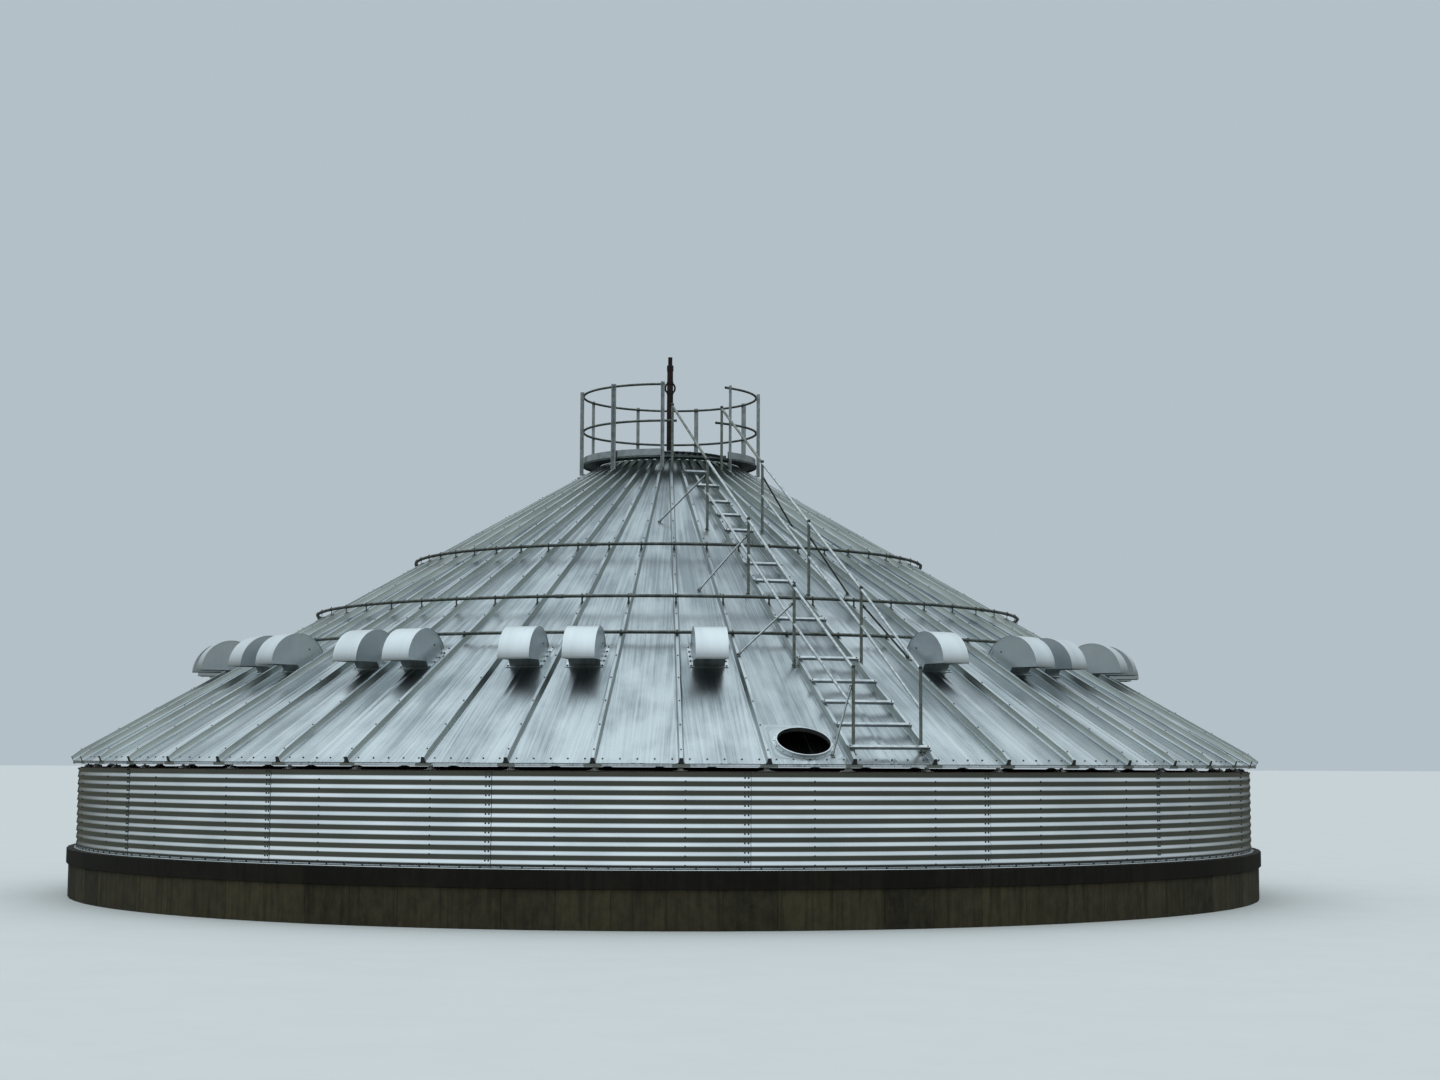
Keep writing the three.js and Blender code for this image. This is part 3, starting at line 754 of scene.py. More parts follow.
def eave_clip(form, angle):
    """The clip under a rib: a saddle on the ring inside the wall's top edge, with a bump in its
    middle, and a stem from the bump up to the pans."""
    low = eave_line - EAVE_GAP
    rows = []
    for step in range(CLIP_STEPS + 1):
        across = (step / CLIP_STEPS - 0.5) * CLIP_WIDTH
        end_round = math.sqrt(max(0.04, 1.04 - (2 * across / CLIP_WIDTH) ** 2))
        bump = max(0.0, 1 - (2 * across / CLIP_BUMP_WIDTH) ** 2)
        rise = CLIP_ARM_HEIGHT * end_round + (CLIP_BUMP_HEIGHT - CLIP_ARM_HEIGHT) * math.sqrt(bump)
        section = (
            (CLIP_INNER, low), (CLIP_INNER, low + rise), (CLIP_OUTER - 0.03, low + rise),
            (CLIP_OUTER - 0.012, low + rise * 0.8), (CLIP_OUTER, low + rise * 0.4), (CLIP_OUTER, low),
        )
        rows.append(row(angle, across, section))
    # Near white clip finish: painted reflection of the bright low sky
    form.strip(rows, clip_painted_reflection)
    stem_radius = (CLIP_INNER + CLIP_OUTER) / 2
    stem_low = low + CLIP_ARM_HEIGHT
    stem_high = pan_height(stem_radius) - 0.002
    middle = place(angle, stem_radius, 0, (stem_low + stem_high) / 2)
    upright_block(form, angle, middle, (0.05, 0.006, stem_high - stem_low))


def eave_ring(form, start, sweep):
    """The rolled angle inside the wall's top edge that the clips stand on."""
    top = eave_line - EAVE_RING_TOP
    outer = WALL_RADIUS - 0.02
    inner = CLIP_INNER - 0.005
    section = (
        (inner, top - 0.003), (outer - 0.003, top - 0.003), (outer - 0.003, top - 0.05),
        (outer, top - 0.05), (outer, top), (inner, top),
    )
    ring_part(form, section, start, sweep, STEPS_PER_SHEET, primed_steel)


def base_flange(form, start, sweep):
    """The sloping flange that seals the sheet to the slab."""
    section = (
        (WALL_RADIUS - 0.008, slab_top + 0.001), (WALL_RADIUS + 0.036, slab_top + 0.001),
        (WALL_RADIUS + 0.034, slab_top + 0.005), (WALL_RADIUS + 0.002, slab_top + 0.016),
        (WALL_RADIUS - 0.008, slab_top + 0.016),
    )
    ring_part(form, section, start, sweep, STEPS_PER_SHEET)


for sheet in range(SHEET_COUNT):
    wall_sheet(sheet)


# Roof
def pan_sag(panel, radius):
    """A slow unevenness of each pan, deepest halfway up and gone at both ends."""
    share = (EAVE_RADIUS - radius) / (EAVE_RADIUS - PEAK_RADIUS)
    wave = math.sin(panel * 2.4) * math.sin(share * 9.0 + panel * 1.7)
    return PAN_SAG * wave * math.sin(math.pi * share)


def rib_rise_at(radius):
    """A rib's height over the pan, which drops a little at its open end."""
    return rib_rise - RIB_END_DROP * max(0.0, 1 - (EAVE_RADIUS - radius) / RIB_END_TAPER)


def rib_profile(radius):
    """Half of a rib's section from its foot to its top: (distance from the rib's line, rise)."""
    rise = rib_rise_at(radius)
    flare = RIB_FILLET * pan_squeeze(radius)
    return (
        (RIB_BASE + flare, 0.0), (RIB_BASE + flare * 0.25, flare * 0.4),
        (RIB_BASE - flare * 0.25, flare * 1.5), (RIB_TOP + 0.0022, rise - RIB_ROUNDING),
        (RIB_TOP - 0.002, rise),
    )


def pan_squeeze(radius):
    """How far the flat forms narrow where the panels run together towards the peak."""
    return min(1.0, (radius * math.sin(half_panel) - RIB_BASE) / FULL_HALF_PAN)


def setback(radius, rise):
    """The panels' ends are cut square to the slope, so a pan's edge stands back from the ribs' tops."""
    if radius < EAVE_RADIUS:
        return 0.0
    return PAN_SETBACK * (1 - min(1.0, max(0.0, rise / rib_rise)))


def panel_section(panel, radius):
    """The panel's closed section at one radius, with each corner's place across the sheet."""
    spacing = 2 * radius * math.sin(half_panel)
    squeeze = pan_squeeze(radius)
    bead = BEAD_HEIGHT * min(1.0, max(0.0, (radius - BEADS_END) / BEAD_RUN_OUT))
    sag = pan_sag(panel, radius)
    here = rib_angle(panel)
    middle = panel_middle(panel)
    along = radius * math.cos(half_panel)
    height = pan_height(radius)
    top = [(here, radius, -RIB_FLANGE, LAP_RISE)]
    for offset, rise in rib_profile(radius):
        top.append((here, radius, -offset, max(rise, LAP_RISE)))
    for offset, rise in reversed(rib_profile(radius)):
        top.append((here, radius, offset, rise))
    for side in (-1, 1):
        for offset, rise in ((-2.2, 0), (-1, 1), (1, 1), (2.2, 0)):
            across = (side * BEAD_OFFSET + offset * BEAD_HALF_WIDTH) * squeeze
            top.append((middle, along, across, rise * bead + sag))
    top.append((rib_angle(panel + 1), radius, -RIB_BASE, -0.0005))
    under = []
    for angle, out, across, rise in top:
        inset = 0.0
        if angle == here and abs(across) <= RIB_BASE:
            inset = -math.copysign(SHEET_THICKNESS, across)
        under.append((angle, out, across + inset, rise - SHEET_THICKNESS))
    corners = []
    lines = []
    for angle, out, across, rise in top + under[::-1]:
        back = setback(radius, rise)
        corners.append(place(angle, out - back, across, height + rise + back * slope_rise))
        from_middle = {here: -spacing / 2, middle: 0.0}.get(angle, spacing / 2) + across
        up_the_pan = (EAVE_RADIUS - radius) / math.cos(SLOPE)
        lines.append((panel * STREAK_SHIFT + from_middle + rise, up_the_pan, 0.0))
    return corners, lines


def roof_panel(form, panel):
    """A panel's sheet. The sides of its rib are the fourth and eighth face from the near edge."""
    rows = []
    runs = []
    tapered = EAVE_RADIUS - RIB_END_TAPER
    shares = [step / PAN_STEPS for step in range(PAN_STEPS + 1)]
    for radius in [EAVE_RADIUS] + [tapered + (PEAK_RADIUS - tapered) * share for share in shares]:
        corners, lines = panel_section(panel, radius)
        rows.append(corners)
        runs.append(lines)
    finish = [None] * len(rows[0])
    # The rib's sides take the darker rib zinc, which is painted shade
    for side in (3, 7):
        finish[side] = shaded_rib_zinc
    form.strip(rows, tuple(finish), runs=runs)


def eave_lip(form, panel):
    """The bent lip under the pan's edge, cut away beside the ribs, with a black strip over it that paints
    the shadow in the fold.
    """
    middle = panel_middle(panel)
    along = pan_edge * math.cos(half_panel)
    width = 2 * (pan_edge * math.sin(half_panel) - LIP_TO_RIB)
    fold = pan_height(pan_edge) - SHEET_THICKNESS
    top = fold - LIP_FOLD
    low = eave_line + 0.008
    back, front = along - 0.012, along - 0.001
    # Black strip along the fold: painted shadow
    plate(form, middle, ((back, top), (front, top), (front, fold), (back, fold)), 0, width, black_rubber_and_shade)
    lip = (
        (back, top), (along - 0.004, top), (along + 0.003, low + 0.003), (along + 0.003, low), (front, low),
    )
    plate(form, middle, lip, 0, width)


def rib_end(form, angle):
    """The rubber stop in a rib's open end, cut square to the slope, and the filler piece under it."""
    low = pan_height(pan_edge) - 0.004
    high = pan_height(EAVE_RADIUS) + rib_rise_at(EAVE_RADIUS) - 0.003
    outline = (
        (pan_edge, -RIB_BASE, low), (pan_edge, RIB_BASE, low), (EAVE_RADIUS, RIB_TOP, high),
        (EAVE_RADIUS, -RIB_TOP, high),
    )
    rows = []
    for shift in (-0.02, 0.0005):
        rows.append([place(angle, out + shift, across, height) for out, across, height in outline])
    form.strip(rows, black_rubber_and_shade)
    width, depth, height = EAVE_FILLER
    middle = place(angle, pan_edge - 0.004 - depth, 0, pan_height(pan_edge) - SHEET_THICKNESS - height / 2)
    # The filler under the rib end takes the darker rib zinc, which is painted shade
    upright_block(form, angle, middle, (width, depth, height), shaded_rib_zinc)


def eave_and_rib_bolts(form, panel):
    middle = panel_middle(panel)
    out = EAVE_RADIUS * math.cos(half_panel) - EAVE_BOLT_UP * math.cos(SLOPE)
    for number in range(EAVE_BOLTS_PER_PANEL):
        across = (number - (EAVE_BOLTS_PER_PANEL - 1) / 2) * EAVE_BOLT_SPACING
        if abs(abs(across) - BEAD_OFFSET) > BOLT_OFF_BEAD:
            form.bolt(place(middle, out, across, mid_pan_height(out)), off_slope(middle))
    angle = rib_angle(panel)
    radius = EAVE_RADIUS - FIRST_RIB_BOLT
    while radius > PEAK_RADIUS + LAST_RIB_BOLT:
        spot = place(angle, radius, 0, pan_height(radius) + rib_rise)
        form.bolt(spot, off_slope(angle), size=0.9)
        radius -= RIB_BOLT_SPACING * math.cos(SLOPE)


roof_finishes = [roof_zinc, *fasteners, shaded_rib_zinc]


def roof_sector(sector):
    form = Form()
    first = sector * PANELS_PER_SECTOR + 1
    for panel in range(first, first + PANELS_PER_SECTOR):
        if panel != MANHOLE_PANEL:
            roof_panel(form, panel)
        eave_lip(form, panel)
        rib_end(form, rib_angle(panel))
        eave_and_rib_bolts(form, panel)
    name = f"roof_sector_{sector + 1:02d}"
    build(f"ribbed_{name}", form, roof_finishes, [name])


for sector in range(PANEL_COUNT // PANELS_PER_SECTOR):
    roof_sector(sector)


def manhole_frame():
    angle = panel_middle(MANHOLE_PANEL)
    return angle, over_pan(angle, MANHOLE_MIDDLE, 0, 0.0), off_slope(angle)


def manhole_panel():
    """The panel with the manhole: a round hole cut through the pan."""
    form = Form()
    roof_panel(form, MANHOLE_PANEL)
    piece = build("ribbed_manhole_panel", form, roof_finishes, ["roof_sector_01"])
    angle, spot, normal = manhole_frame()
    drill = Form()
    drill.lathe(spot - normal * 0.06, normal, ((MANHOLE_RADIUS, 0), (MANHOLE_RADIUS, 0.12)), 64)
    tool = new_object("manhole_drill", new_mesh("manhole_drill", drill.corners, drill.faces))
    hole = piece.modifiers.new("hole", "BOOLEAN")
    hole.operation = "DIFFERENCE"
    hole.solver = "EXACT"
    hole.object = tool
    bpy.context.view_layer.update()
    evaluated = piece.evaluated_get(bpy.context.evaluated_depsgraph_get())
    cut_mesh = bpy.data.meshes.new_from_object(evaluated)
    piece.modifiers.clear()
    piece.data = cut_mesh
    bpy.data.objects.remove(tool)


def manhole_rim():
    angle, spot, normal = manhole_frame()
    form = Form()
    inner = MANHOLE_RADIUS - 0.001
    outer = MANHOLE_RADIUS + RIM_THICKNESS
    flange = outer + 0.03
    profile = (
        (inner, -0.012), (outer, -0.004), (flange, 0.001), (flange, 0.004), (outer + 0.001, 0.005),
        (outer, RIM_HEIGHT - 0.006), (outer + 0.006, RIM_HEIGHT - 0.003), (outer + 0.004, RIM_HEIGHT),
        (inner, RIM_HEIGHT),
    )
    form.lathe(spot, normal, profile, 64, looped=True)
    side = sideways(angle)
    along = up_slope(angle)
    for number in range(RIM_BOLTS):
        turn = 2 * math.pi * (number + 0.5) / RIM_BOLTS
        where = spot + (side * math.cos(turn) + along * math.sin(turn)) * (outer + 0.018)
        form.bolt(where + normal * 0.003, normal, size=0.7)
    build("manhole_rim", form, [vent_zinc, *fasteners])


manhole_panel()
manhole_rim()


# Roof vents
def has_vent(panel):
    """Every third panel is plain, and so are the manhole's panel and the one beside the stair."""
    return panel % 3 != 2 and panel not in (MANHOLE_PANEL, STAIR_PANEL + 1)


def hood_outline(inset=0.0):
    """The hood's outline seen from its end: (distance out, height), from the front edge to the back."""
    base = eave_line + HOOD_BASE
    over_cut = (base - (mid_pan_height(HOOD_MIDDLE) + HOOD_OVER_PAN)) * math.cos(SLOPE)
    arc_end = math.pi - SLOPE + math.asin(over_cut / HOOD_RADIUS)
    radius = HOOD_RADIUS - inset
    points = []
    for step in range(HOOD_STEPS + 1):
        turn = arc_end * step / HOOD_STEPS
        points.append((HOOD_MIDDLE + radius * math.cos(turn), base + radius * math.sin(turn)))
    return points


def on_neck_wall(foot, rise):
    """A place on a neck's wall, which stands square to the slope: (distance out, height)."""
    return (foot + rise * math.sin(SLOPE), mid_pan_height(foot) + rise * math.cos(SLOPE))


def roof_vent(panel):
    angle = panel_middle(panel)
    form = Form()
    base = eave_line + HOOD_BASE
    cover = hood_outline() + hood_outline(SHEET_THICKNESS)[::-1]
    rows = []
    runs = []
    for across in (-HOOD_HALF_WIDTH, HOOD_HALF_WIDTH):
        rows.append(row(angle, across, cover))
        runs.append([(across + panel, index * 0.02, 0.0) for index in range(len(cover))])
    form.strip(rows, runs=runs)
    cut_meets_base = HOOD_MIDDLE - (base - mid_pan_height(HOOD_MIDDLE) - HOOD_OVER_PAN) / slope_rise
    end_outline = hood_outline(0.001) + [(cut_meets_base, base)]
    front = HOOD_MIDDLE + HOOD_RADIUS
    hem = (
        (front - 0.002, base - 0.001), (front - 0.002, base + 0.012),
        (cut_meets_base, base + 0.012), (cut_meets_base, base - 0.001),
    )
    for side in (-1, 1):
        across = side * (HOOD_HALF_WIDTH - HOOD_RECESS)
        plate(form, angle, end_outline, across, SHEET_THICKNESS)
        plate(form, angle, hem, side * (HOOD_HALF_WIDTH - HOOD_RECESS + 0.003), 0.004)
        bolt_spot = place(angle, HOOD_MIDDLE - 0.4 * HOOD_RADIUS, across, base + 0.5 * HOOD_RADIUS)
        form.bolt(bolt_spot, sideways(angle) * side)
    front_hem = (
        (front, base - 0.004), (front, base + 0.016),
        (front - 0.004, base + 0.016), (front - 0.004, base - 0.004),
    )
    plate(form, angle, front_hem, 0, 2 * HOOD_HALF_WIDTH)
    neck(form, angle, base, cut_meets_base)
    build(f"roof_vent_{panel:02d}", form, [vent_zinc, shaded_neck_zinc, *fasteners])


def neck(form, angle, base, cut_meets_base):
    """The box between the pan and the hood, with the flat skirt round its foot."""
    back = SHEET_THICKNESS / math.cos(SLOPE)
    for foot in (NECK_FRONT, NECK_BACK):
        wall = [on_neck_wall(foot, 0), on_neck_wall(foot, NECK_LENGTH)]
        wall += [(out - back, height) for out, height in reversed(wall)]
        # The neck's front and back walls take the darker neck zinc, which is painted shade
        plate(form, angle, wall, 0, 2 * NECK_HALF_WIDTH, shaded_neck_zinc)
    under_cut = HOOD_OVER_PAN * math.cos(SLOPE) + 0.004
    under_base = (base - mid_pan_height(NECK_FRONT)) / math.cos(SLOPE) + 0.004
    side_wall = [
        on_neck_wall(NECK_BACK, 0), on_neck_wall(NECK_FRONT, 0), on_neck_wall(NECK_FRONT, under_base),
        (cut_meets_base, base + 0.004), on_neck_wall(NECK_BACK, under_cut),
    ]
    for side in (-1, 1):
        plate(form, angle, side_wall, side * (NECK_HALF_WIDTH - 0.001), SHEET_THICKNESS)
        neck_skirt(form, angle, side)
    reach = NECK_HALF_WIDTH + NECK_SKIRT_WIDTH
    sloped_block(form, angle, over_pan(angle, NECK_FRONT + 0.013, 0, 0.004), (2 * reach, 0.03, 0.005))
    edge = NECK_FRONT + 0.026
    ends = [place(angle, edge, side * reach, mid_pan_height(edge) + 0.007) for side in (-1, 1)]
    form.tube(ends, 0.006, 8)


def neck_skirt(form, angle, side):
    """The flat strip beside the neck, bolted down to the pan."""
    low = NECK_FRONT + 0.004
    middle_out = (low + NECK_SKIRT_TOP) / 2
    length = (low - NECK_SKIRT_TOP) / math.cos(SLOPE)
    across = side * (NECK_HALF_WIDTH + NECK_SKIRT_WIDTH / 2)
    spot = over_pan(angle, middle_out, across, 0.004)
    sloped_block(form, angle, spot, (NECK_SKIRT_WIDTH, length, 0.005))
    for number in range(NECK_SKIRT_BOLTS):
        out = low - 0.004 - (low - NECK_SKIRT_TOP - 0.03) * number / (NECK_SKIRT_BOLTS - 1)
        form.bolt(over_pan(angle, out, across, 0.006), off_slope(angle), 1.25)


for panel in range(PANEL_COUNT):
    if has_vent(panel):
        roof_vent(panel)


# Roof rings
def roof_ring(name, radius, standoff):
    height = pan_height(radius) + rib_rise + standoff
    form = Form()
    path = [place(rib_angle(step / 2), radius, 0, height) for step in range(2 * PANEL_COUNT)]
    form.tube(path, RING_PIPE, 12, looped=True)
    for number in range(COUPLERS_PER_RING):
        angle = rib_angle(FIRST_COUPLER + number * PANEL_COUNT / COUPLERS_PER_RING)
        middle = place(angle, radius, 0, height)
        half = sideways(angle) * COUPLER_HALF_LENGTH
        form.tube([middle - half, middle + half], RING_PIPE + 0.006, 12)
    for rib in range(PANEL_COUNT):
        ring_support(form, rib_angle(rib), radius, height)
    build(f"pipe_{name}", form, [dark_pipe_and_shaded_brace, *fasteners], [name])


def ring_support(form, angle, radius, height):
    """A narrow strap up from the rib to the pipe, and a pipe clamp with one bolt over it."""
    seat = pan_height(radius) + rib_rise
    rise = height - RING_PIPE - seat
    if rise > 0.02:
        strap = place(angle, radius, 0, seat + rise / 2)
        upright_block(form, angle, strap, (0.022, 0.005, rise + 0.01))
        foot = place(angle, radius, 0, seat) + off_slope(angle) * 0.003
        sloped_block(form, angle, foot, (0.03, 0.07, 0.005))
    half = sideways(angle) * 0.011
    middle = place(angle, radius, 0, height)
    form.tube([middle - half, middle + half], RING_PIPE + 0.004, 12)
    form.bolt(middle + UP * (RING_PIPE + 0.003), UP, size=0.9)


for name, (radius, standoff) in ROOF_RINGS.items():
    roof_ring(name, radius, standoff)


# Roof stair
def stair_step(number, distance, offset):
    """A bent channel that lies across two ribs with its back up, held by a bolt at each end."""
    angle = panel_middle(STAIR_PANEL)
    side, along, normal = sideways(angle), up_slope(angle), off_slope(angle)
    length = max(STEP_LEAST_LENGTH, 2 * distance * math.tan(half_panel) + 2 * RIB_TOP)
    seat = place(angle, distance, offset, mid_pan_height(distance) + rib_rise) + normal * 0.001
    half = STEP_DEPTH / 2
    bend = 0.003
    section = [
        (-half, 0.0), (-half, STEP_HEIGHT - bend), (-half + bend, STEP_HEIGHT),
        (half - bend, STEP_HEIGHT), (half, STEP_HEIGHT - bend), (half, 0.0),
        (half - STEP_SHEET, 0.0), (half - STEP_SHEET, STEP_HEIGHT - STEP_SHEET),
        (-half + STEP_SHEET, STEP_HEIGHT - STEP_SHEET), (-half + STEP_SHEET, 0.0),
    ]
    form = Form()
    rows = []
    for end in (-length / 2, length / 2):
        rows.append([seat + side * end + along * up + normal * off for up, off in section])
    form.strip(rows)
    for end in (-1, 1):
        across = side * end * (length / 2 - RIB_TOP - 0.004)
        form.bolt(seat + across + normal * STEP_HEIGHT, normal, size=0.8)
    name = f"stair_step_{number + 1:02d}"
    build(f"bent_{name}", form, [step_zinc, *fasteners], [name])


for number, (distance, offset) in enumerate(STAIR_STEPS):
    stair_step(number, distance, offset)


def open_post(form, foot, length, radius):
    """A plumb pipe with its open end upwards, with a black disc just inside its bore as painted shade."""
    bore = radius - 0.004
    form.lathe(foot, UP, ((radius, 0), (radius, length), (bore, length), (bore, length - 0.001)))
    # Black disc just inside the bore: painted shade
    form.lathe(foot + UP * (length - 0.0005), UP, ((bore, 0), (bore, 0.0006)), 16, black_rubber_and_shade)
    band = ((radius + 0.003, 0), (radius + 0.003, 0.018))
    form.lathe(foot + UP * (length - 0.03), UP, band, 16, black_rubber_and_shade)


def stair_rail(side_name, side):
    stair = panel_middle(STAIR_PANEL)
    form = Form()

    def seat(out, across, on_rib):
        spot = place(stair, out, side * across, 0)
        spot.z = pan_height_at(spot.x, spot.y) + (rib_rise if on_rib else 0.0)
        return spot

    def plate_angle(spot, on_rib):
        angle = math.degrees(math.atan2(spot.x, -spot.y))
        rib = (angle - FIRST_RIB) / panel_angle
        return rib_angle(round(rib)) if on_rib else panel_middle(math.floor(rib))

    def foot_plate(spot, on_rib, width, length):
        angle = plate_angle(spot, on_rib)
        middle = spot + off_slope(angle) * 0.004
        sloped_block(form, angle, middle, (width, length, 0.006))
        form.bolt(spot + up_slope(angle) * (length * 0.36) + off_slope(angle) * 0.006, off_slope(angle))

    feet = [seat(*post[:3]) for post in RAIL_POSTS]
    heights = [TOP_POST_HEIGHT if on_rib else POST_HEIGHT for _, _, on_rib, _, _ in RAIL_POSTS]
    for foot, height, (_, _, on_rib, brace, sides) in zip(feet, heights, RAIL_POSTS):
        foot_plate(foot, on_rib, 0.046, 0.09)
        open_post(form, foot + UP * 0.012, height - 0.012, RAIL_PIPE)
        if brace is None or sides not in ("both", side_name):
            continue
        brace_foot = seat(*brace)
        foot_plate(brace_foot, brace[2], 0.044, 0.07)
        low = brace_foot + UP * 0.014
        level = (brace_foot - foot).normalized()
        level.z = 0
        high = foot + UP * BRACE_HEIGHT + level.normalized() * (RAIL_PIPE + BRACE_PIPE)
        # The right-hand braces take the darker pipe finish, which is painted shade
        form.tube([low, high], BRACE_PIPE, 12, rail_zinc if side < 0 else dark_pipe_and_shaded_brace)
        flat_end(form, low, high)
        flat_end(form, high, low)
    for span in range(len(feet) - 1):
        near, far = feet[span], feet[span + 1]
        ends = [near + UP * (heights[span] - RAIL_DROP), far + UP * (heights[span + 1] - RAIL_DROP)]
        top_span = span == len(feet) - 2
        form.tube(ends, RAIL_PIPE - 0.001, 12, None if top_span else rail_zinc)
        if not top_span:
            form.tube([near + UP * MID_RAIL, far + UP * MID_RAIL], RAIL_PIPE - 0.001, 12, rail_zinc)
    name = f"stair_rail_{side_name}"
    finishes = [pipe_zinc, *fasteners, rail_zinc, dark_pipe_and_shaded_brace]
    build(f"pipe_{name}", form, finishes, [name])


def flat_end(form, end, towards):
    """The flattened, bolted end of a brace, as dark as the rubber."""
    direction = (towards - end).normalized()
    across = direction.cross(UP).normalized()
    normal = direction.cross(across)
    form.block(end + direction * 0.012, across, direction, normal, (0.006, 0.06, 0.032), black_rubber_and_shade)
    form.bolt(end + direction * 0.004 + across * 0.003, across, size=0.8)


for side_name, side in (("left", -1), ("right", 1)):
    stair_rail(side_name, side)


# Peak platform
rail_start = rib_angle(PLATFORM_POST_RIBS[0])
rail_sweep = rib_angle(PLATFORM_POST_RIBS[-1]) - rail_start


def platform_floor():
    """Narrow planks of bent sheet side by side, on an inner and an outer angle ring."""
    form = Form()
    top = eave_line + PLATFORM_HEIGHT
    outer = PLATFORM_RADIUS - 0.001
    gap = math.degrees(0.003 / outer)
    for plank in range(PANEL_COUNT):
        start = rib_angle(plank) + gap
        outline = [
            (PLATFORM_INNER, top - PLANK_SHEET), (outer, top - PLANK_SHEET),
            (outer, top), (PLATFORM_INNER, top),
        ]
        ring_part(form, outline, start, panel_angle - 2 * gap, 2)
    low, high = top - PLATFORM_THICKNESS, top - PLANK_SHEET - 0.0005
    for edge, depth in ((PLATFORM_INNER + 0.004, 0.03), (outer - 0.004, -0.03)):
        leaf = edge + math.copysign(0.003, depth)
        angle_ring = (
            (edge, low), (edge, high), (edge + depth, high), (edge + depth, high - 0.003),
            (leaf, high - 0.003), (leaf, low),
        )
        rows = [row(rib_angle(step / 2), 0, angle_ring) for step in range(2 * PANEL_COUNT)]
        form.strip(rows, looped=True)
    build("plank_platform_floor", form, [shaded_platform_zinc], ["platform_floor"])


def toe_board():
    """A rolled strip on edge round the platform's floor, with a folded foot and a hemmed top."""
    form = Form()
    low = eave_line + PLATFORM_HEIGHT + 0.0005
    top = eave_line + TOE_BOARD_TOP
    outer = TOE_BOARD_RADIUS
    inner = outer - TOE_BOARD_SHEET
    outline = [
        (inner - 0.02, low), (outer, low), (outer, top - 0.001), (outer - 0.001, top),
        (inner - 0.003, top), (inner - 0.003, top - 0.012), (inner, top - 0.012),
        (inner, low + 0.003), (inner - 0.02, low + 0.003),
    ]
    ring_part(form, outline, rail_start, rail_sweep, round(rail_sweep / 3))
    build("rolled_platform_toe_board", form, [toe_zinc], ["platform_toe_board"])


def angle_post(form, angle):
    """An angle-iron post with one leg along the railing and one outwards, on a foot plate on the rib."""
    inner = PLATFORM_RADIUS + 0.001
    foot = pan_height(inner) + rib_rise
    top = eave_line + POST_TOP
    leg, sheet = POST_LEG, POST_SHEET
    section = [(0, inner), (leg, inner), (leg, inner + sheet), (sheet, inner + sheet)]
    section += [(sheet, inner + leg), (0, inner + leg)]
    rows = []
    for height in (foot + 0.002, top):
        rows.append([place(angle, out, across, height) for across, out in section])
    form.strip(rows)
    middle_out = inner + leg / 2
    seat = place(angle, middle_out, 0, pan_height(middle_out) + rib_rise) + off_slope(angle) * 0.004
    sloped_block(form, angle, seat, POST_FOOT)
    for height in (TOP_RAIL_HEIGHT, MID_RAIL_HEIGHT):
        form.bolt(place(angle, inner + sheet - 0.002, leg / 2, eave_line + height), outward(angle))
    for up in (-0.05, 0.05):
        form.bolt(seat + up_slope(angle) * up + off_slope(angle) * 0.004, off_slope(angle), size=0.9)


def platform_rail():
    form = Form()
    for rib in PLATFORM_POST_RIBS:
        angle_post(form, rib_angle(rib))
    for height, reach in ((TOP_RAIL_HEIGHT, TOP_RAIL_REACH), (MID_RAIL_HEIGHT, MID_RAIL_REACH)):
        start = rail_start - reach
        sweep = rail_sweep + 2 * reach
        shares = [step / RAIL_STEPS for step in range(RAIL_STEPS + 1)]
        path = [place(start + sweep * share, RAIL_RING, 0, eave_line + height) for share in shares]
        form.tube(path, HANDRAIL, 12, dark_pipe_and_shaded_brace)
        for end, inward in ((0, 1), (-1, -2)):
            cap_axis = (path[end] - path[inward]).normalized()
            cap = ((HANDRAIL + 0.002, 0), (HANDRAIL + 0.002, 0.015))
            form.lathe(path[end] - cap_axis * 0.014, cap_axis, cap, 12, black_rubber_and_shade)
    nodes = [f"platform_rail_{section + 1:02d}" for section in range(4)]
    build("round_platform_rail", form, [post_zinc, *fasteners, dark_pipe_and_shaded_brace], nodes)


def peak_collar():
    """The rolled ring that the panels' upper ends are bolted to."""
    form = Form()
    seat = pan_height(PEAK_RADIUS) + rib_rise
    top = seat + 0.008
    profile = (
        (COLLAR_INNER, seat - COLLAR_DEPTH), (COLLAR_OUTER, seat - COLLAR_DEPTH), (COLLAR_OUTER, seat),
        (COLLAR_FLANGE - 0.002, seat), (COLLAR_FLANGE, seat + 0.002), (COLLAR_FLANGE, top - 0.002),
        (COLLAR_FLANGE - 0.002, top), (COLLAR_INNER + 0.004, top), (COLLAR_INNER, top - 0.004),
    )
    form.lathe(Vector((0, 0, 0)), UP, profile, 72, looped=True)
    for rib in range(PANEL_COUNT):
        form.bolt(place(rib_angle(rib), COLLAR_FLANGE - 0.04, 0, top), UP)
    build("rolled_peak_collar", form, [post_zinc, *fasteners], ["peak_collar"])


platform_floor()
toe_board()
platform_rail()
peak_collar()


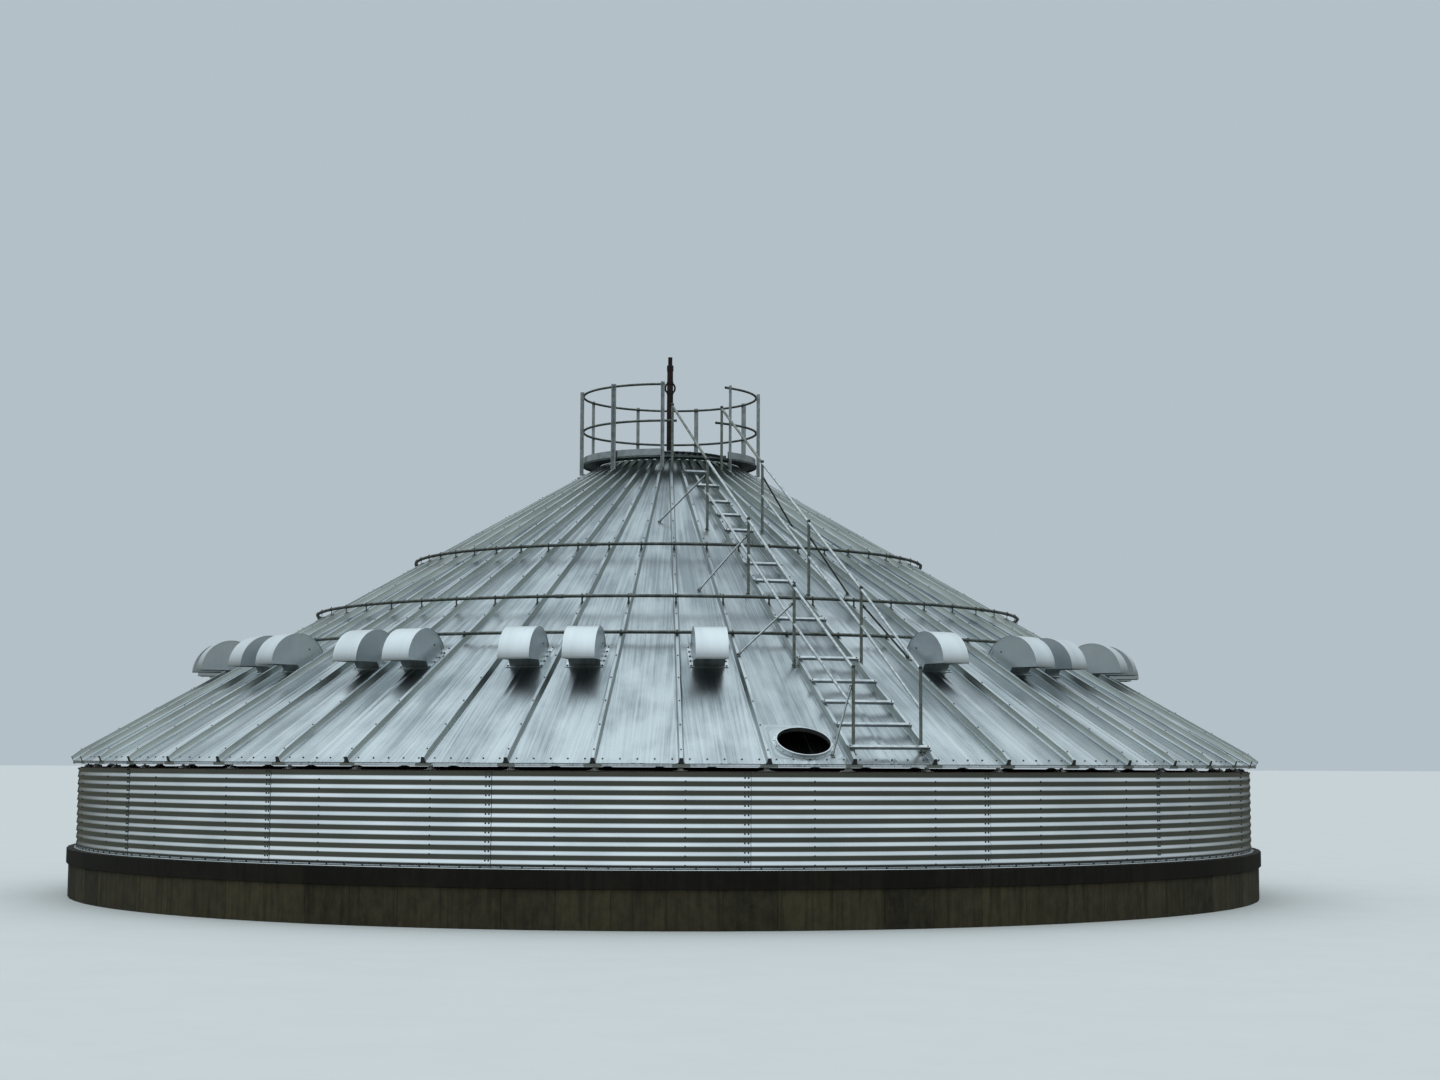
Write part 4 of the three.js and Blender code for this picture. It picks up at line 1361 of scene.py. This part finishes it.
# Mast
def mast():
    form = Form()
    flange_top = pan_height(PEAK_RADIUS) + rib_rise + 0.008
    length, width, height = CROSS_BAR
    x_axis = Vector((1, 0, 0))
    y_axis = Vector((0, 1, 0))
    web = 0.006
    middle = Vector((0, 0, flange_top + height / 2))
    form.block(middle + UP * (height / 2 - web / 2), x_axis, y_axis, UP, (length, width, web))
    for side in (-1, 1):
        flange = middle + y_axis * side * (width / 2 - web / 2) - UP * web / 2
        form.block(flange, x_axis, y_axis, UP, (length, web, height - web))
    foot = Vector((0, 0, flange_top + height - 0.002))
    shoulder = eave_line + MAST_TOP - MAST_NECK_LENGTH - foot.z
    top = eave_line + MAST_TOP - foot.z
    profile = (
        (0.09, 0.0), (0.09, 0.01), (MAST_RADIUS, 0.012), (MAST_RADIUS, 0.6), (MAST_RADIUS - 0.002, 1.0),
        (MAST_RADIUS - 0.004, shoulder - 0.09), (MAST_RADIUS + 0.002, shoulder - 0.085),
        (MAST_RADIUS + 0.002, shoulder - 0.008), (MAST_RADIUS - 0.006, shoulder),
        (MAST_NECK, shoulder + 0.004),
        (MAST_NECK - 0.001, top - 0.012), (MAST_NECK + 0.002, top - 0.01), (MAST_NECK, top),
    )
    form.lathe(foot, UP, profile, MAST_SIDES)
    for side in (-1, 1):
        ear = []
        for step in range(EAR_STEPS + 1):
            turn = math.pi * step / EAR_STEPS - math.pi / 2
            out = MAST_RADIUS - EAR_SINK
            out += (EAR_REACH - EAR_ROD - MAST_RADIUS + EAR_SINK) * math.cos(turn)
            up = eave_line + EAR_HEIGHT + EAR_HALF_HEIGHT * math.sin(turn)
            ear.append(Vector((side * out, 0, up)))
        form.tube(ear, EAR_ROD, 10)
    for shift in (-EAR_BAND_SHIFT, EAR_BAND_SHIFT):
        band = Vector((0, 0, eave_line + EAR_HEIGHT + shift - 0.014))
        form.lathe(band, UP, ((MAST_RADIUS + 0.005, 0), (MAST_RADIUS + 0.005, 0.028)), MAST_SIDES)
    build("rusted_mast", form, [rusted_steel], ["mast"])


mast()


# Stage: a plain pale floor, hidden from reflections so that metal shows a dark far ground under the sky
def floor():
    material = mottled("plain_pale_floor", ("D3D5D4", "D0D2D1"), 900, (0.85, 0.9), 0.0, 0.0)
    reach = 600
    corners = [(-reach, -reach, 0), (reach, -reach, 0), (reach, reach, 0), (-reach, reach, 0)]
    piece = new_object("floor", new_mesh("floor", corners, [(0, 1, 2, 3)]))
    piece.data.materials.append(material)
    piece.visible_glossy = False


def soft_light():
    """An overcast dome that lights the metal: brightest overhead, dimmer low down, dark under the
    horizon. Behind the object the background is one plain pale tone."""
    world = bpy.data.worlds.new("overcast_dome")
    world.use_nodes = True
    tree = world.node_tree
    tree.nodes.clear()
    direction = add_node(tree, "ShaderNodeTexCoord")
    parts = add_node(tree, "ShaderNodeSeparateXYZ", {"Vector": (direction, "Generated")})
    level = math_node(tree, "MULTIPLY_ADD", (parts, 2), 0.5, 0.5)
    stops = [
        (0.0, (0.055, 0.058, 0.047, 1)),
        (0.49, (0.06, 0.064, 0.052, 1)),
        (0.515, (0.10, 0.11, 0.10, 1)),
        (0.545, (0.20, 0.22, 0.225, 1)),
        (0.60, (0.42, 0.47, 0.49, 1)),
        (0.68, (0.62, 0.69, 0.73, 1)),
        (0.82, (0.84, 0.94, 0.99, 1)),
        (0.93, (1.0, 1.12, 1.18, 1)),
        (1.0, (1.06, 1.18, 1.24, 1)),
    ]
    brighter_side = remap(tree, (parts, 0), (-1.0, 1.0), (1.12, 0.95))
    sky = {"Color": ramp(tree, level, stops), "Strength": brighter_side}
    dome = add_node(tree, "ShaderNodeBackground", sky)
    backdrop = add_node(tree, "ShaderNodeBackground", {"Color": linear("B4C0C8"), "Strength": 1.0})
    ray = add_node(tree, "ShaderNodeLightPath")
    choice = {0: (ray, "Is Camera Ray"), 1: (dome, 0), 2: (backdrop, 0)}
    seen = add_node(tree, "ShaderNodeMixShader", choice)
    add_node(tree, "ShaderNodeOutputWorld", {"Surface": (seen, 0)})
    bpy.context.scene.world = world


def camera():
    forward = Vector((
        math.sin(CAMERA_YAW) * math.cos(CAMERA_PITCH),
        math.cos(CAMERA_YAW) * math.cos(CAMERA_PITCH),
        math.sin(CAMERA_PITCH),
    ))
    level_right = Vector((math.cos(CAMERA_YAW), -math.sin(CAMERA_YAW), 0))
    level_up = level_right.cross(forward)
    right = level_right * math.cos(CAMERA_ROLL) + level_up * math.sin(CAMERA_ROLL)
    up = level_up * math.cos(CAMERA_ROLL) - level_right * math.sin(CAMERA_ROLL)
    lens = bpy.data.cameras.new("camera")
    lens.sensor_width = SENSOR_WIDTH
    lens.lens = CAMERA_FOCAL_PIXELS * SENSOR_WIDTH / IMAGE_WIDTH
    lens.clip_end = 2000
    holder = new_object("camera", lens)
    turn = Matrix((right, up, -forward)).transposed().to_4x4()
    holder.matrix_world = Matrix.Translation((0, -CAMERA_DISTANCE, CAMERA_HEIGHT)) @ turn
    bpy.context.scene.camera = holder


floor()
soft_light()
camera()
bpy.context.scene.view_settings.view_transform = "Standard"
bpy.context.scene.view_settings.look = "None"
